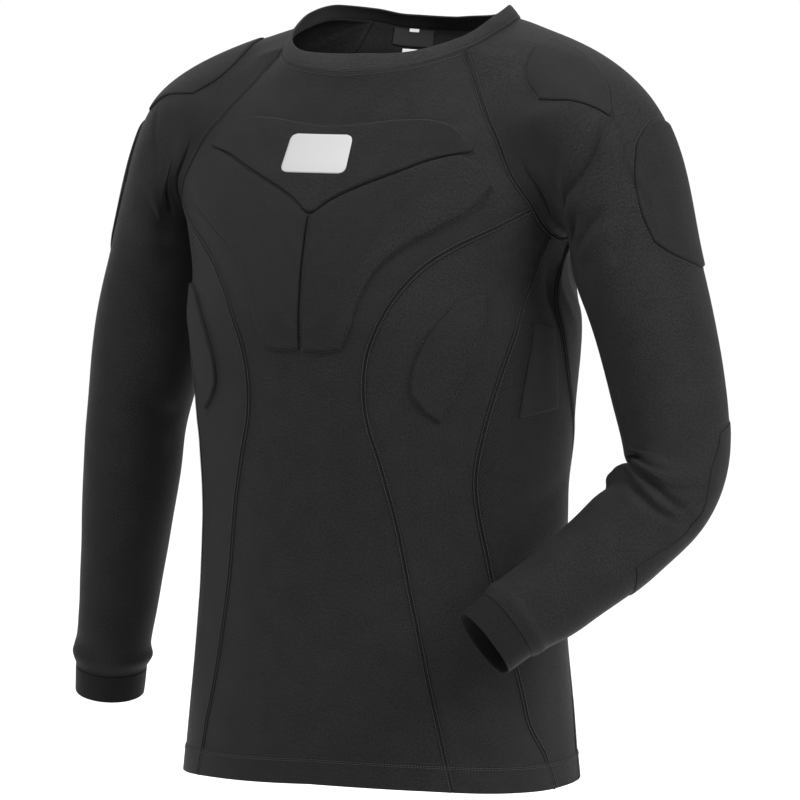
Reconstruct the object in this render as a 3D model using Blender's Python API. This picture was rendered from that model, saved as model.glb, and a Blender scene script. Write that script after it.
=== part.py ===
"""Padded compression shirt with long raglan sleeves, filled out with nobody in it.

Metres, +Z up. The front faces -Y and the wearer's left is +X. The origin lies in the middle of the
neck hole, at the height where the shoulders carry the shirt. The body of the shirt is read in two
coordinates: the angle round the trunk in degrees, 0 at the centre front and growing towards the
side, and the height. A sleeve is read by its way down (0 at the raglan seam, 1 at the cuff seam) and
the angle round the arm, 0 outside, 90 in front, 180 at the underarm and 270 behind.
"""

import bmesh
import bpy
import numpy as np

# Driving dimensions
CLOTH = 0.0016          # wall of the knit
BAND_CLOTH = 0.0022     # doubled neck band
SEAM_GAP = 0.0003       # between neighbouring pieces
HEM_Z = -0.692          # height of the lower edge at the centre front
HEM_TILT = 0.006        # the wearer's right hangs lower by this, the left higher
HEM_TURN = 0.025        # depth of the turned-up hem
HEM_STEP = 0.0008       # how far the turned-up hem stands out
CUFF_STEP = 0.0006
PAD_CLEAR = 0.0009      # between a panel and the pad lying on it
PAD_EDGE = 0.0012       # thickness of a pad at its edge
PAD_RIM = 0.07          # part of a pad's width over which it rises to its full height

# Steps across each piece
FRONT_STEPS = 18
BACK_STEPS = 18
STRIP_STEPS = 5
SIDE_STEPS = 5
RAGLAN_STEPS = 7
BODY_STEPS = 20
SHOULDER_STEPS = 4
SLEEVE_WAYS = (
    0, 0.025, 0.05, 0.075, 0.10, 0.13, 0.16, 0.21, 0.265, 0.32, 0.38, 0.44, 0.50, 0.545, 0.58, 0.61,
    0.64, 0.67,
    0.71, 0.76, 0.83, 0.90, 0.96, 1,
)
CUFF_WAYS = (1.0, 1.025, 1.05)
BAND_STEPS = 3
DEGREE_LENGTH = 0.003   # of the trunk's girth, for the length of a line

# Trunk sections: height, half width, depth to the front, depth to the back, centre x, centre y, squareness
TRUNK = [
    (-0.735, 0.196, 0.121, 0.127, -0.001, -0.046, 2.55),
    (-0.600, 0.182, 0.119, 0.123, -0.001, -0.045, 2.42),
    (-0.520, 0.175, 0.125, 0.120, 0.000, -0.041, 2.38),
    (-0.440, 0.174, 0.136, 0.119, 0.001, -0.036, 2.35),
    (-0.360, 0.179, 0.143, 0.124, 0.003, -0.037, 2.35),
    (-0.280, 0.186, 0.144, 0.129, 0.003, -0.040, 2.35),
    (-0.240, 0.182, 0.137, 0.132, 0.002, -0.043, 2.32),
    (-0.195, 0.191, 0.124, 0.134, 0.001, -0.046, 2.25),
    (-0.150, 0.205, 0.113, 0.130, 0.000, -0.041, 2.15),
    (-0.115, 0.202, 0.106, 0.124, 0.000, -0.031, 2.10),
    (-0.090, 0.182, 0.102, 0.118, 0.000, -0.023, 2.05),
    (-0.060, 0.145, 0.100, 0.112, 0.000, -0.013, 2.00),
    (-0.032, 0.112, 0.101, 0.110, 0.000, -0.007, 2.00),
    (-0.005, 0.106, 0.098, 0.107, 0.000, -0.002, 2.00),
    (0.030, 0.092, 0.092, 0.098, 0.000, 0.002, 2.00),
]
# Neck seam: angle, height
NECK_SEAM = [
    (0, -0.0525), (30, -0.0475), (62, -0.032), (88, -0.013), (110, -0.004), (132, -0.007), (150, -0.013),
    (180, -0.016),
]
# Lower edge: angle, height below the centre front
HEM_LINE = [(0, 0.000), (45, -0.002), (70, -0.006), (90, -0.009), (180, -0.010)]
# Raglan seams, neck to underarm: angle, height
RAGLAN_FRONT = [
    (62, -0.032), (63, -0.055), (63.6, -0.077), (65, -0.098), (67.3, -0.121), (70.5, -0.146), (76, -0.170),
]
STRIP_TOP = [(76, -0.170), (80, -0.184), (84, -0.193)]
SIDE_TOP = [(84, -0.193), (90, -0.199), (97, -0.195)]
RAGLAN_BACK = [
    (97, -0.195), (103, -0.176), (108, -0.150), (112, -0.120), (116, -0.090), (121, -0.060), (127, -0.032),
    (132, -0.007),
]
# Seams of the trunk, raglan seam to hem: angle, height
PRINCESS = [
    (76, -0.170), (66, -0.188), (56, -0.203), (46.5, -0.220), (38, -0.242), (31, -0.268), (26, -0.298),
    (24, -0.335),
    (25, -0.365), (29, -0.400), (35, -0.455), (41, -0.520), (46.5, -0.580), (51, -0.640), (55, -0.705),
]
SIDE_FRONT = [
    (84, -0.193), (79, -0.232), (73, -0.262), (68.5, -0.295), (64, -0.335), (60.5, -0.375),
    (59, -0.412), (60.5, -0.446),
    (64.5, -0.490), (69, -0.535), (74, -0.580), (76.5, -0.610), (79, -0.645), (84, -0.672), (88, -0.705),
]
SIDE_BACK = [
    (97, -0.195), (91, -0.235), (89, -0.265), (91, -0.290), (95, -0.325), (102, -0.362), (109, -0.395),
    (114, -0.430),
    (116, -0.480), (115, -0.540), (112, -0.600), (107, -0.650), (103, -0.705),
]
# Sleeve rings: way down, centre x, y, z, half width, half depth. x is given for the left and mirrored.
SLEEVE_RIGHT = [
    (0.16, 0.190, -0.030, -0.101, 0.063, 0.066),
    (0.34, 0.248, -0.042, -0.248, 0.052, 0.061),
    (0.46, 0.260, -0.050, -0.322, 0.053, 0.057),
    (0.56, 0.269, -0.054, -0.385, 0.048, 0.053),
    (0.68, 0.280, -0.052, -0.460, 0.045, 0.049),
    (0.84, 0.297, -0.043, -0.545, 0.039, 0.042),
    (1.00, 0.314, -0.035, -0.625, 0.036, 0.037),
    (1.05, 0.319, -0.031, -0.651, 0.035, 0.036),
]
SLEEVE_LEFT = [
    (0.16, 0.207, -0.036, -0.100, 0.069, 0.069),
    (0.34, 0.271, -0.038, -0.238, 0.056, 0.060),
    (0.46, 0.295, -0.037, -0.325, 0.052, 0.053),
    (0.56, 0.308, -0.044, -0.391, 0.047, 0.049),
    (0.63, 0.305, -0.064, -0.423, 0.046, 0.048),
    (0.71, 0.285, -0.096, -0.457, 0.045, 0.045),
    (0.84, 0.249, -0.142, -0.499, 0.042, 0.041),
    (1.00, 0.215, -0.182, -0.531, 0.037, 0.037),
    (1.05, 0.202, -0.198, -0.545, 0.036, 0.036),
]
# Angles round the arm where the raglan loop's five stretches start, from the back of the neck
LOOP_TURNS = [(0, -24), (1, 24), (2, 128), (3, 155), (4, 205), (5, 336)]
CORNER_SOFT = 0.45      # half the stretch of the loop over which the sleeve's two top corners are rounded
CORNER_PARTS = (-1, -0.66, -0.33, 0, 0.33, 0.66, 1)
CORNER_SHARES = (0.07, 0.13, 0.19, 0.22, 0.19, 0.13, 0.07)
CORNER_SPREAD = 0.4     # how far round the loop a corner's rounding reaches
CORNER_FADE = 0.045     # way down at which the rounding is whole
SOFT_CORNERS = (0, 1, 5)
UNDERARM_ARCH = 0.008   # rise of the cloth over the underarm
SHOULDER_LIFT = 0.30    # how much the sleeve's head rounds upwards as it leaves its seam
UNDERARM_SHARE = (0.5, 0.45, 0.12)  # where it rises, between the seam and the arm's first ring
# Neck band, angle: how far it rises above its seam
BAND_RISE = [(0, 0.0175), (60, 0.012), (90, 0.014), (120, 0.012), (180, 0.0135)]
# Neck band, angle: how far its top edge lies inside its seam
BAND_LEAN = [(0, 0.014), (45, 0.010), (75, 0.006), (100, 0.007), (130, 0.013), (180, 0.014)]
BAND_BOW = 0.001

# Pads on the trunk, given for the left: their top, bottom, inner and outer edges as angle, height
V_GROOVE = [(0, -0.177), (12, -0.165), (25, -0.150), (39, -0.138), (50, -0.130), (62, -0.121)]
GROOVE = 0.0035         # half the width of the groove between two chest pads
CHEST_TOP = [(0, -0.0965), (20, -0.0955), (38, -0.0935), (51, -0.096), (58, -0.103), (62, -0.113)]
CHEST_LOWER = {
    "top": [
        (1.2, -0.182), (12, -0.170), (25, -0.155), (39, -0.143), (50, -0.135), (62, -0.128), (64.5, -0.138),
        (65, -0.150),
    ],
    "bottom": [(1.2, -0.297), (10, -0.2965), (17, -0.291)],
    "inner": [(1.2, -0.182), (1.2, -0.297)],
    "outer": [
        (65, -0.150), (61.5, -0.169), (50, -0.190), (36, -0.209), (28, -0.225), (23.5, -0.246),
        (20.5, -0.270),
        (17, -0.291),
    ],
}
RIB = {
    "top": [(45.5, -0.260), (53, -0.253), (61, -0.248)],
    "bottom": [(42, -0.345), (45, -0.356), (49, -0.361)],
    "inner": [(45.5, -0.260), (40.5, -0.290), (39, -0.322), (42, -0.345)],
    "outer": [(61, -0.248), (60, -0.275), (56, -0.315), (49, -0.361)],
}
SIDE = {
    "top": [(77, -0.272), (85, -0.277)],
    "bottom": [(72, -0.357), (90, -0.352)],
    "inner": [(77, -0.272), (74, -0.318), (72, -0.357)],
    "outer": [(85, -0.277), (87.5, -0.315), (90, -0.352)],
}

# Pads on a sleeve: their edges as angle round the arm, way down
SHOULDER = {
    "top": [(0, 0.047), (28, 0.051), (46, 0.062), (64, 0.088)],
    "bottom": [(36, 0.173), (40, 0.176), (44, 0.170)],
    "inner": [(0, 0.047), (2, 0.080), (14, 0.122), (36, 0.173)],
    "outer": [(64, 0.088), (64, 0.108), (56, 0.136), (44, 0.170)],
}
UPPER_ARM = {
    "top": [(-36, 0.205), (-12, 0.193), (12, 0.193), (30, 0.215)],
    "bottom": [(-40, 0.318), (-14, 0.341), (8, 0.335), (38, 0.308)],
    "inner": [(-36, 0.205), (-46, 0.245), (-47, 0.285), (-40, 0.318)],
    "outer": [(30, 0.215), (42, 0.250), (44, 0.278), (38, 0.308)],
}
ELBOW = {
    "top": [(-98, 0.545), (-60, 0.515), (-30, 0.512), (8, 0.530)],
    "bottom": [(-95, 0.715), (-60, 0.752), (-25, 0.760), (12, 0.742)],
    "inner": [(-98, 0.545), (-112, 0.590), (-110, 0.665), (-95, 0.715)],
    "outer": [(8, 0.530), (14, 0.580), (0, 0.640), (12, 0.742)],
}
CHEST_PAD = 0.0040      # heights of the pads
RIB_PAD = 0.0035
SIDE_PAD = 0.0025
ARM_PAD = 0.0026
BEND_CLEAR = 0.0008     # more room under a pad on a shoulder or an elbow

# Largest folds of the sleeves: side, angle round the arm, way down, slant in degrees, half length,
# half width, height (a trough is below 0)
FOLDS = [
    (1, 152, 0.602, 0, 0.060, 0.012, -0.007),
    (1, 150, 0.635, 0, 0.050, 0.012, 0.005),
    (1, 92, 0.662, 6, 0.045, 0.013, -0.005),
    (1, 70, 0.622, -8, 0.045, 0.012, 0.003),
    (1, 95, 0.275, 35, 0.035, 0.016, 0.004),
    (1, 120, 0.225, 30, 0.030, 0.015, -0.004),
    (-1, 95, 0.270, 35, 0.035, 0.016, 0.003),
    (-1, 165, 0.560, 10, 0.040, 0.018, -0.004),
    (-1, 120, 0.940, 8, 0.045, 0.014, 0.0025),
]
SEAM_HOLD = 0.03        # way down over which a sleeve's normals turn from the trunk's to its own
LOOP_STEP = 0.04        # steps round and down for its normals
HEAD_STEP = 0.06        # step round its head's seam for the seam's direction
WAY_STEP = 0.004
SLEEVE_LENGTH = 0.52    # along the middle of the arm, for the folds' sizes
SLEEVE_GIRTH = 0.055    # radius, for the folds' sizes

# Patch inside the back of the neck, as columns of the back and parts of its first row of cells
LABEL_CLEAR = 0.0004
LABEL_CLOTH = 0.0006
LABEL_COLUMNS = (12, 16)
LABEL_DROP = (0.06, 0.72)
TAB_COLUMNS = (13, 15)
TAB_DROP = (0.76, 0.92)

BLACK = (0.028, 0.029, 0.031)
MESH = (0.020, 0.021, 0.022)
WHITE = (0.80, 0.80, 0.78)
SIDES = ((1, "left"), (-1, "right"))
SLEEVES = {1: SLEEVE_LEFT, -1: SLEEVE_RIGHT}
NECK_SEAM_BACK = RAGLAN_BACK[-1][0]


def through(rows, at, eased=True):
    """Smooth curve through a table's rows, its first column the position.

    Eased, it never swings past a row, which suits widths. Otherwise it rounds every row, which suits
    a line that turns, such as the middle of a bent arm.
    """
    rows = np.asarray(rows, float)
    rows = rows[np.argsort(rows[:, 0])]
    x, y = rows[:, 0], rows[:, 1:]
    gap = np.diff(x)[:, None]
    slope = np.diff(y, axis=0) / gap
    lean = np.zeros_like(y)
    lean[0], lean[-1] = slope[0], slope[-1]
    a, b = slope[:-1], slope[1:]
    if eased:
        same = a * b > 0
        lean[1:-1] = np.where(same, 2 * a * b / np.where(same, a + b, 1), 0.0)
    else:
        lean[1:-1] = (gap[1:] * a + gap[:-1] * b) / (gap[1:] + gap[:-1])
    at = np.clip(np.asarray(at, float), x[0], x[-1])
    k = np.clip(np.searchsorted(x, at, side="right") - 1, 0, len(x) - 2)
    step = gap[k]
    t = (at - x[k])[..., None] / step
    return (
        (2 * t**3 - 3 * t**2 + 1) * y[k]
        + (t**3 - 2 * t**2 + t) * step * lean[k]
        + (3 * t**2 - 2 * t**3) * y[k + 1]
        + (t**3 - t**2) * step * lean[k + 1]
    )


def ease(low, high, x):
    """Smooth step from 0 at low to 1 at high."""
    t = np.clip((x - low) / (high - low), 0, 1)
    return t * t * (3 - 2 * t)


def unit(v):
    """Vectors brought to length one."""
    return v / np.linalg.norm(v, axis=-1, keepdims=True)


def across(v, n):
    """The part of v that lies across n, at length one."""
    return unit(v - (v * n).sum(-1, keepdims=True) * n)


def trunk_point(place):
    """Points of the trunk's surface at (angle, height): a superellipse at each height."""
    angle, z = np.radians(place[..., 0]), place[..., 1]
    half_width, front, back, shift, middle, square = np.moveaxis(through(TRUNK, z), -1, 0)
    s, c = np.sin(angle), np.cos(angle)
    depth = np.where(c > 0, front, back)
    r = ((np.abs(s) / half_width) ** square + (np.abs(c) / depth) ** square) ** (-1 / square)
    return np.stack([shift + r * s, middle - r * c, z], -1)


def trunk_normal(place):
    """Outward normals of the trunk's surface."""
    turn, lift = np.array([0.5, 0.0]), np.array([0.0, 0.001])
    round_it = trunk_point(place + turn) - trunk_point(place - turn)
    down_it = trunk_point(place - lift) - trunk_point(place + lift)
    return unit(np.cross(down_it, round_it))


def seam_at(rows, parts):
    """Points (angle, height) of a seam at parts 0..1 of its drop in height."""
    table = [(z, angle) for angle, z in rows]
    z = rows[0][1] + np.asarray(parts, float) * (rows[-1][1] - rows[0][1])
    return np.stack([through(table, z, eased=False)[..., 0], z], -1)


def edge_at(rows, parts):
    """Points (angle, height) at parts 0..1 of the length of a smooth line through rows."""
    rows = np.asarray(rows, float)
    if len(rows) == 2:
        return rows[0] + np.asarray(parts, float)[:, None] * (rows[1] - rows[0])
    size = np.diff(rows, axis=0) * (DEGREE_LENGTH, 1.0)
    way = np.concatenate([[0], np.cumsum(np.hypot(*size.T))])
    return through(np.column_stack([way / way[-1], rows]), parts, eased=False)


def folded(angle):
    """Angles brought to 0..180, the same on both sides."""
    return np.abs(np.mod(np.asarray(angle, float) + 180, 360) - 180)


def neck_seam(angle):
    """Points (angle, height) of the neck seam."""
    angle = np.asarray(angle, float)
    return np.stack([angle, through(NECK_SEAM, folded(angle))[..., 0]], -1)


def hem_line(angle):
    """Points (angle, height) of the lower edge."""
    angle = np.asarray(angle, float)
    tilt = HEM_TILT * np.sin(np.radians(angle))
    return np.stack([angle, HEM_Z + through(HEM_LINE, folded(angle))[..., 0] + tilt], -1)


def patch(top, bottom, left, right):
    """A net of places inside four edges: the mean of both rulings, less that of the corners."""
    u = np.linspace(0, 1, len(top))[None, :, None]
    v = np.linspace(0, 1, len(left))[:, None, None]
    ruled = (1 - v) * top[None] + v * bottom[None] + (1 - u) * left[:, None] + u * right[:, None]
    corners = (
        (1 - u) * (1 - v) * top[0] + u * (1 - v) * top[-1] + (1 - u) * v * bottom[0] + u * v * bottom[-1]
    )
    return ruled - corners


def body_parts():
    """Parts of the way from the raglan seam to the hem, with a pair of rows at the hem's step."""
    drop = abs(HEM_Z - RAGLAN_FRONT[-1][1])
    turn = 1 - HEM_TURN / drop
    free = np.linspace(0, turn - 0.002, BODY_STEPS - 1)
    return np.concatenate([free, [turn + 0.001, 1.0]])


def long_seam(rows, side):
    """A seam from the raglan seam to the hem on one side, at the rows that all the trunk shares."""
    places = seam_at(rows, body_parts())
    end = hem_line(side * rows[-1][0])[1]
    start = rows[0][1]
    places[:, 1] = start + (places[:, 1] - start) * (end - start) / (rows[-1][1] - start)
    return places * (side, 1)


def pulled_in(grid, normal, closed, gap=SEAM_GAP):
    """Move a piece's edges half a seam gap inwards, along its own surface."""
    move = np.zeros_like(grid)

    def edge(here, inside, n, round_it):
        if round_it:
            run = np.roll(here, -1, axis=0) - np.roll(here, 1, axis=0)
        else:
            run = np.gradient(here, axis=0)
        run = across(run, n)
        inward = across(inside - here, n)
        return across(inward, run) * gap / 2

    move[0] += edge(grid[0], grid[1], normal[0], closed)
    move[-1] += edge(grid[-1], grid[-2], normal[-1], closed)
    if not closed:
        move[:, 0] += edge(grid[:, 0], grid[:, 1], normal[:, 0], False)
        move[:, -1] += edge(grid[:, -1], grid[:, -2], normal[:, -1], False)
    return grid + move


def colour_of(name, colour, rough):
    """A plain material for a piece."""
    material = bpy.data.materials.new(name)
    material.use_nodes = True
    shader = material.node_tree.nodes["Principled BSDF"]
    shader.inputs["Base Color"].default_value = (*colour, 1.0)
    shader.inputs["Roughness"].default_value = rough
    return material


def wall(name, outer, inner, closed, colour, rough=0.75):
    """One closed solid between an outer and an inner net, open or joined round in its columns."""
    rows, columns = outer.shape[:2]
    count = rows * columns

    def at(row, column, skin):
        return skin * count + row * columns + column % columns

    faces = []
    spans = columns if closed else columns - 1
    for row in range(rows - 1):
        for column in range(spans):
            for skin in (0, 1):
                a, b = at(row, column, skin), at(row + 1, column, skin)
                c, d = at(row + 1, column + 1, skin), at(row, column + 1, skin)
                faces += [(a, b, c), (a, c, d)] if skin == 0 else [(a, c, b), (a, d, c)]
    for column in range(spans):
        for row, turn in ((0, 1), (rows - 1, -1)):
            a, b = at(row, column, 0), at(row, column + 1, 0)
            c, d = at(row, column + 1, 1), at(row, column, 1)
            faces += [(a, b, c)[::turn], (a, c, d)[::turn]]
    if not closed:
        for row in range(rows - 1):
            for column, turn in ((0, -1), (columns - 1, 1)):
                a, b = at(row, column, 0), at(row + 1, column, 0)
                c, d = at(row + 1, column, 1), at(row, column, 1)
                faces += [(a, b, c)[::turn], (a, c, d)[::turn]]
    points = np.concatenate([outer.reshape(-1, 3), inner.reshape(-1, 3)])
    mesh = bpy.data.meshes.new(name)
    mesh.from_pydata(points.tolist(), [], faces)
    tool = bmesh.new()
    tool.from_mesh(mesh)
    bmesh.ops.recalc_face_normals(tool, faces=tool.faces)
    tool.to_mesh(mesh)
    tool.free()
    piece = bpy.data.objects.new(name, mesh)
    bpy.context.collection.objects.link(piece)
    mesh.materials.append(colour_of(name, colour, rough))
    return piece


def trunk_wall(name, places, colour):
    """A panel of the trunk, with the turned-up hem standing out along its lower edge."""
    normal = trunk_normal(places)
    grid = pulled_in(trunk_point(places), normal, False)
    step = np.zeros(len(places))
    step[-2:] = HEM_STEP
    outer = grid + normal * step[:, None, None]
    return wall(name, outer, grid - normal * CLOTH, False, colour)


def raglan_loop(w):
    """Places and arm angles round a sleeve's head: the neck, the front seam, the underarm, the back."""
    w = np.mod(np.asarray(w, float), 5)
    part = w - np.floor(w)
    stretches = [
        neck_seam(NECK_SEAM_BACK + part * (RAGLAN_FRONT[0][0] - NECK_SEAM_BACK)),
        seam_at(RAGLAN_FRONT, part),
        edge_at(STRIP_TOP, part),
        edge_at(SIDE_TOP, part),
        seam_at(RAGLAN_BACK, part),
    ]
    places = np.choose(np.floor(w).astype(int)[:, None], stretches)
    return places, np.radians(through(LOOP_TURNS, w)[..., 0])


def ring_frames(side):
    """Middle, outward and forward directions and half sizes of the sleeve's rings, closely spaced."""
    rows = [(v, side * x, y, z, wide, deep) for v, x, y, z, wide, deep in SLEEVES[side]]
    way = np.linspace(rows[0][0], rows[-1][0], 90)
    middle = through(rows, way, eased=False)[:, :3]
    sizes = through(rows, way)[:, 3:]
    run = unit(np.gradient(middle, axis=0))
    out = [across(np.array([side, 0.0, 0.0]), run[0])]
    for tangent in run[1:]:
        out.append(across(out[-1], tangent))
    out = np.array(out)
    front = np.cross(run, out) * side
    return way, np.hstack([middle, out, front, sizes])


RINGS = {side: ring_frames(side) for side in SLEEVES}


def ring_point(side, v, turn):
    """Points of the sleeve's rings at the way v and the angle turn, which broadcast together."""
    way, table = RINGS[side]
    v, turn = np.broadcast_arrays(v, turn)
    row = np.stack([np.interp(v, way, column) for column in table.T], -1)
    middle, out, front = row[..., 0:3], row[..., 3:6], row[..., 6:9]
    reach = out * (np.cos(turn) * row[..., 9])[..., None]
    return middle + reach + front * (np.sin(turn) * row[..., 10])[..., None]


def plain_sleeve(side, w, v):
    """Net of a sleeve at loop positions w (columns) and ways down v (rows), its head's corners kept.

    Each column is a smooth line that leaves the raglan seam along the trunk, crosses the shoulder
    ring and then follows the arm's rings.
    """
    places, turn = raglan_loop(w)
    places = places * (side, 1)
    head = trunk_point(places)
    near = [trunk_point(raglan_loop(w + d)[0] * (side, 1)) for d in (-HEAD_STEP, HEAD_STEP)]
    normal = trunk_normal(places)
    leave = across(np.cross(normal, near[1] - near[0]) * side, normal)
    top, low = SLEEVES[side][0][0], SLEEVES[side][1][0]
    arm = ring_point(side, low, turn)
    over = ease(-0.55, 0.15, np.cos(turn))[:, None]
    under = head + (arm - head) * UNDERARM_SHARE + (0, 0, UNDERARM_ARCH)
    shoulder = over * ring_point(side, top, turn) + (1 - over) * under
    reach = np.linalg.norm(shoulder - head, axis=1, keepdims=True)
    straight = 0.5 + 0.4 * ease(0.75, 0.95, np.cos(turn))[:, None]
    towards = unit(shoulder - head) + SHOULDER_LIFT * over * (0, 0, 1)
    lean_head = unit(leave * (1 - straight) + unit(towards) * straight) * reach / top
    lean_shoulder = (arm - head) / low
    step = 0.01
    lean_arm = (ring_point(side, low + step, turn) - arm) / step

    def span(t, size, a, lean_a, b, lean_b):
        t = t[:, None, None]
        return (
            (2 * t**3 - 3 * t**2 + 1) * a
            + (t**3 - 2 * t**2 + t) * size * lean_a
            + (3 * t**2 - 2 * t**3) * b
            + (t**3 - t**2) * size * lean_b
        )

    v = np.asarray(v, float)
    first = span(np.clip(v / top, 0, 1), top, head, lean_head, shoulder, lean_shoulder)
    second = span(np.clip((v - top) / (low - top), 0, 1), low - top, shoulder, lean_shoulder, arm, lean_arm)
    rest = ring_point(side, np.maximum(v, low)[:, None], turn[None])
    v = v[:, None, None]
    return np.where(v < top, first, np.where(v < low, second, rest))


def smooth_sleeve(side, w, v):
    """Net of the sleeve without its folds: below the head's seam its two corners are rounded off."""
    w, v = np.asarray(w, float), np.asarray(v, float)
    soft = CORNER_SOFT * sum(np.exp(-((w - corner) / CORNER_SPREAD) ** 2) for corner in SOFT_CORNERS)
    plain = plain_sleeve(side, w, v)
    pairs = zip(CORNER_PARTS, CORNER_SHARES)
    mean = sum(share * plain_sleeve(side, w + part * soft, v) for part, share in pairs)
    return plain + (mean - plain) * ease(0, CORNER_FADE, v)[:, None, None]


def sleeve_net(side, w, v):
    """Net of the sleeve's points and outward normals; its folds rise along the smooth form's normals."""
    v = np.asarray(v, float)
    dw, dv = LOOP_STEP, WAY_STEP
    round_it = smooth_sleeve(side, w + dw, v) - smooth_sleeve(side, w - dw, v)
    above, below = np.maximum(v - dv, 0), np.minimum(v + dv, CUFF_WAYS[-1])
    down_it = smooth_sleeve(side, w, below) - smooth_sleeve(side, w, above)
    normal = unit(np.cross(down_it, round_it) * -side)
    places, turn = raglan_loop(w)
    seam = trunk_normal(places * (side, 1))
    hold = ease(SEAM_HOLD, 0.0, v)[:, None, None]
    normal = unit(normal * (1 - hold) + seam * hold)
    rise = np.zeros((len(v), len(turn)))
    for where, angle, way, slant, long, wide, height in FOLDS:
        if where != side:
            continue
        round_way = np.radians(np.mod(np.degrees(turn) - angle + 180, 360) - 180)[None] * SLEEVE_GIRTH
        down_way = (v[:, None] - way) * SLEEVE_LENGTH
        c, s = np.cos(np.radians(slant)), np.sin(np.radians(slant))
        rise += height * np.exp(
            -(((round_way * c + down_way * s) / long) ** 2) - ((down_way * c - round_way * s) / wide) ** 2
        )
    return smooth_sleeve(side, w, v) + normal * rise[..., None], normal


def loop_at(turn):
    """Loop positions at angles round the arm, in degrees."""
    w = np.linspace(0, 5, 501)
    first = LOOP_TURNS[0][1]
    return np.interp(np.mod(turn - first, 360) + first, through(LOOP_TURNS, w)[:, 0], w)


def loop_columns():
    """Positions round the raglan loop, the same as the rows and columns of the trunk's pieces."""
    counts = (SHOULDER_STEPS, RAGLAN_STEPS, STRIP_STEPS, SIDE_STEPS, RAGLAN_STEPS)
    return np.concatenate([k + np.arange(count) / count for k, count in enumerate(counts)])


def build_trunk():
    """Front, side fronts, side panels and back, each ending on its neighbours' seams."""
    raglan_parts = np.linspace(0, 1, RAGLAN_STEPS + 1)
    front_edges, back_edges = [
        [
            np.vstack([seam_at(raglan, raglan_parts)[:-1] * (side, 1), long_seam(seam, side)])
            for side, _ in SIDES
        ]
        for raglan, seam in ((RAGLAN_FRONT, PRINCESS), (RAGLAN_BACK[::-1], SIDE_BACK))
    ]
    top = neck_seam(np.linspace(-RAGLAN_FRONT[0][0], RAGLAN_FRONT[0][0], FRONT_STEPS + 1))
    bottom = hem_line(np.linspace(-PRINCESS[-1][0], PRINCESS[-1][0], FRONT_STEPS + 1))
    trunk_wall("front_centre", patch(top, bottom, front_edges[1], front_edges[0]), BLACK)

    top = neck_seam(np.linspace(NECK_SEAM_BACK, 360 - NECK_SEAM_BACK, BACK_STEPS + 1))
    bottom = hem_line(np.linspace(SIDE_BACK[-1][0], 360 - SIDE_BACK[-1][0], BACK_STEPS + 1))
    back = patch(top, bottom, back_edges[0], back_edges[1] + (360, 0))
    trunk_wall("back", back, BLACK)

    for side, word in SIDES:
        for name, head, first, second, steps, colour in (
            ("side_front", STRIP_TOP, PRINCESS, SIDE_FRONT, STRIP_STEPS, BLACK),
            ("side_panel", SIDE_TOP, SIDE_FRONT, SIDE_BACK, SIDE_STEPS, MESH),
        ):
            top = edge_at(head, np.linspace(0, 1, steps + 1)) * (side, 1)
            bottom = hem_line(side * np.linspace(first[-1][0], second[-1][0], steps + 1))
            places = patch(top, bottom, long_seam(first, side), long_seam(second, side))
            trunk_wall(f"{name}_{word}", places, colour)
    return back


def build_sleeves():
    """Raglan sleeves from the neck to the cuff seams, and the cuffs on them."""
    w = loop_columns()
    ways = np.array(SLEEVE_WAYS, float)
    cuff_ways = np.array(CUFF_WAYS)
    for side, word in SIDES:
        grid, normal = sleeve_net(side, w, ways)
        grid = pulled_in(grid, normal, True)
        wall(f"sleeve_{word}", grid, grid - normal * CLOTH, True, BLACK)
        grid, normal = sleeve_net(side, w, cuff_ways)
        grid = pulled_in(grid, normal, True)
        wall(f"cuff_{word}", grid + normal * CUFF_STEP, grid - normal * CLOTH, True, BLACK)


def build_neck(back):
    """The doubled band round the neck, the patch inside the back of the neck and its tab."""
    front = RAGLAN_FRONT[0][0]
    angles = np.concatenate([
        np.linspace(-front, front, FRONT_STEPS + 1)[:-1],
        np.linspace(front, NECK_SEAM_BACK, SHOULDER_STEPS + 1)[:-1],
        np.linspace(NECK_SEAM_BACK, 360 - NECK_SEAM_BACK, BACK_STEPS + 1)[:-1],
        np.linspace(360 - NECK_SEAM_BACK, 360 - front, SHOULDER_STEPS + 1)[:-1],
    ])
    places = neck_seam(angles)
    low, seam_normal = trunk_point(places), trunk_normal(places)
    outward = unit(seam_normal * (1, 1, 0))
    rise, lean = through(BAND_RISE, folded(angles)), through(BAND_LEAN, folded(angles))
    high = low - outward * lean + rise * (0, 0, 1)
    rows = np.linspace(0, 1, BAND_STEPS + 1)[:, None, None]
    grid = low + rows * (high - low)
    round_it = np.roll(grid, -1, axis=1) - np.roll(grid, 1, axis=1)
    normal = unit(np.cross(round_it, np.gradient(grid, axis=0)))
    normal = unit(normal + ease(0.6, 0, rows) * (seam_normal - normal))
    grid = pulled_in(grid + normal * BAND_BOW * 4 * rows * (1 - rows), normal, True)
    outer = grid + normal * (BAND_CLOTH - CLOTH) / 2
    wall("neck_band", outer, outer - normal * BAND_CLOTH, True, BLACK)

    normal = trunk_normal(back)
    inside = pulled_in(trunk_point(back), normal, False) - normal * (CLOTH + LABEL_CLEAR)
    for name, part, columns, colour in (
        ("neck_label", LABEL_DROP, LABEL_COLUMNS, BLACK),
        ("label_tab", TAB_DROP, TAB_COLUMNS, WHITE),
    ):
        rows = np.linspace(*part, 3)[:, None, None]
        columns = slice(columns[0], columns[1] + 1)
        grid = inside[0, columns] + rows * (inside[1, columns] - inside[0, columns])
        wall(name, grid, grid - normal[0, columns] * LABEL_CLOTH, False, colour)


def pad_edges(count, edge):
    """Positions 0..1 with a narrow first and last step for the rounded edge."""
    return np.concatenate([[0], np.linspace(edge, 1 - edge, count - 1), [1]])


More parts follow.
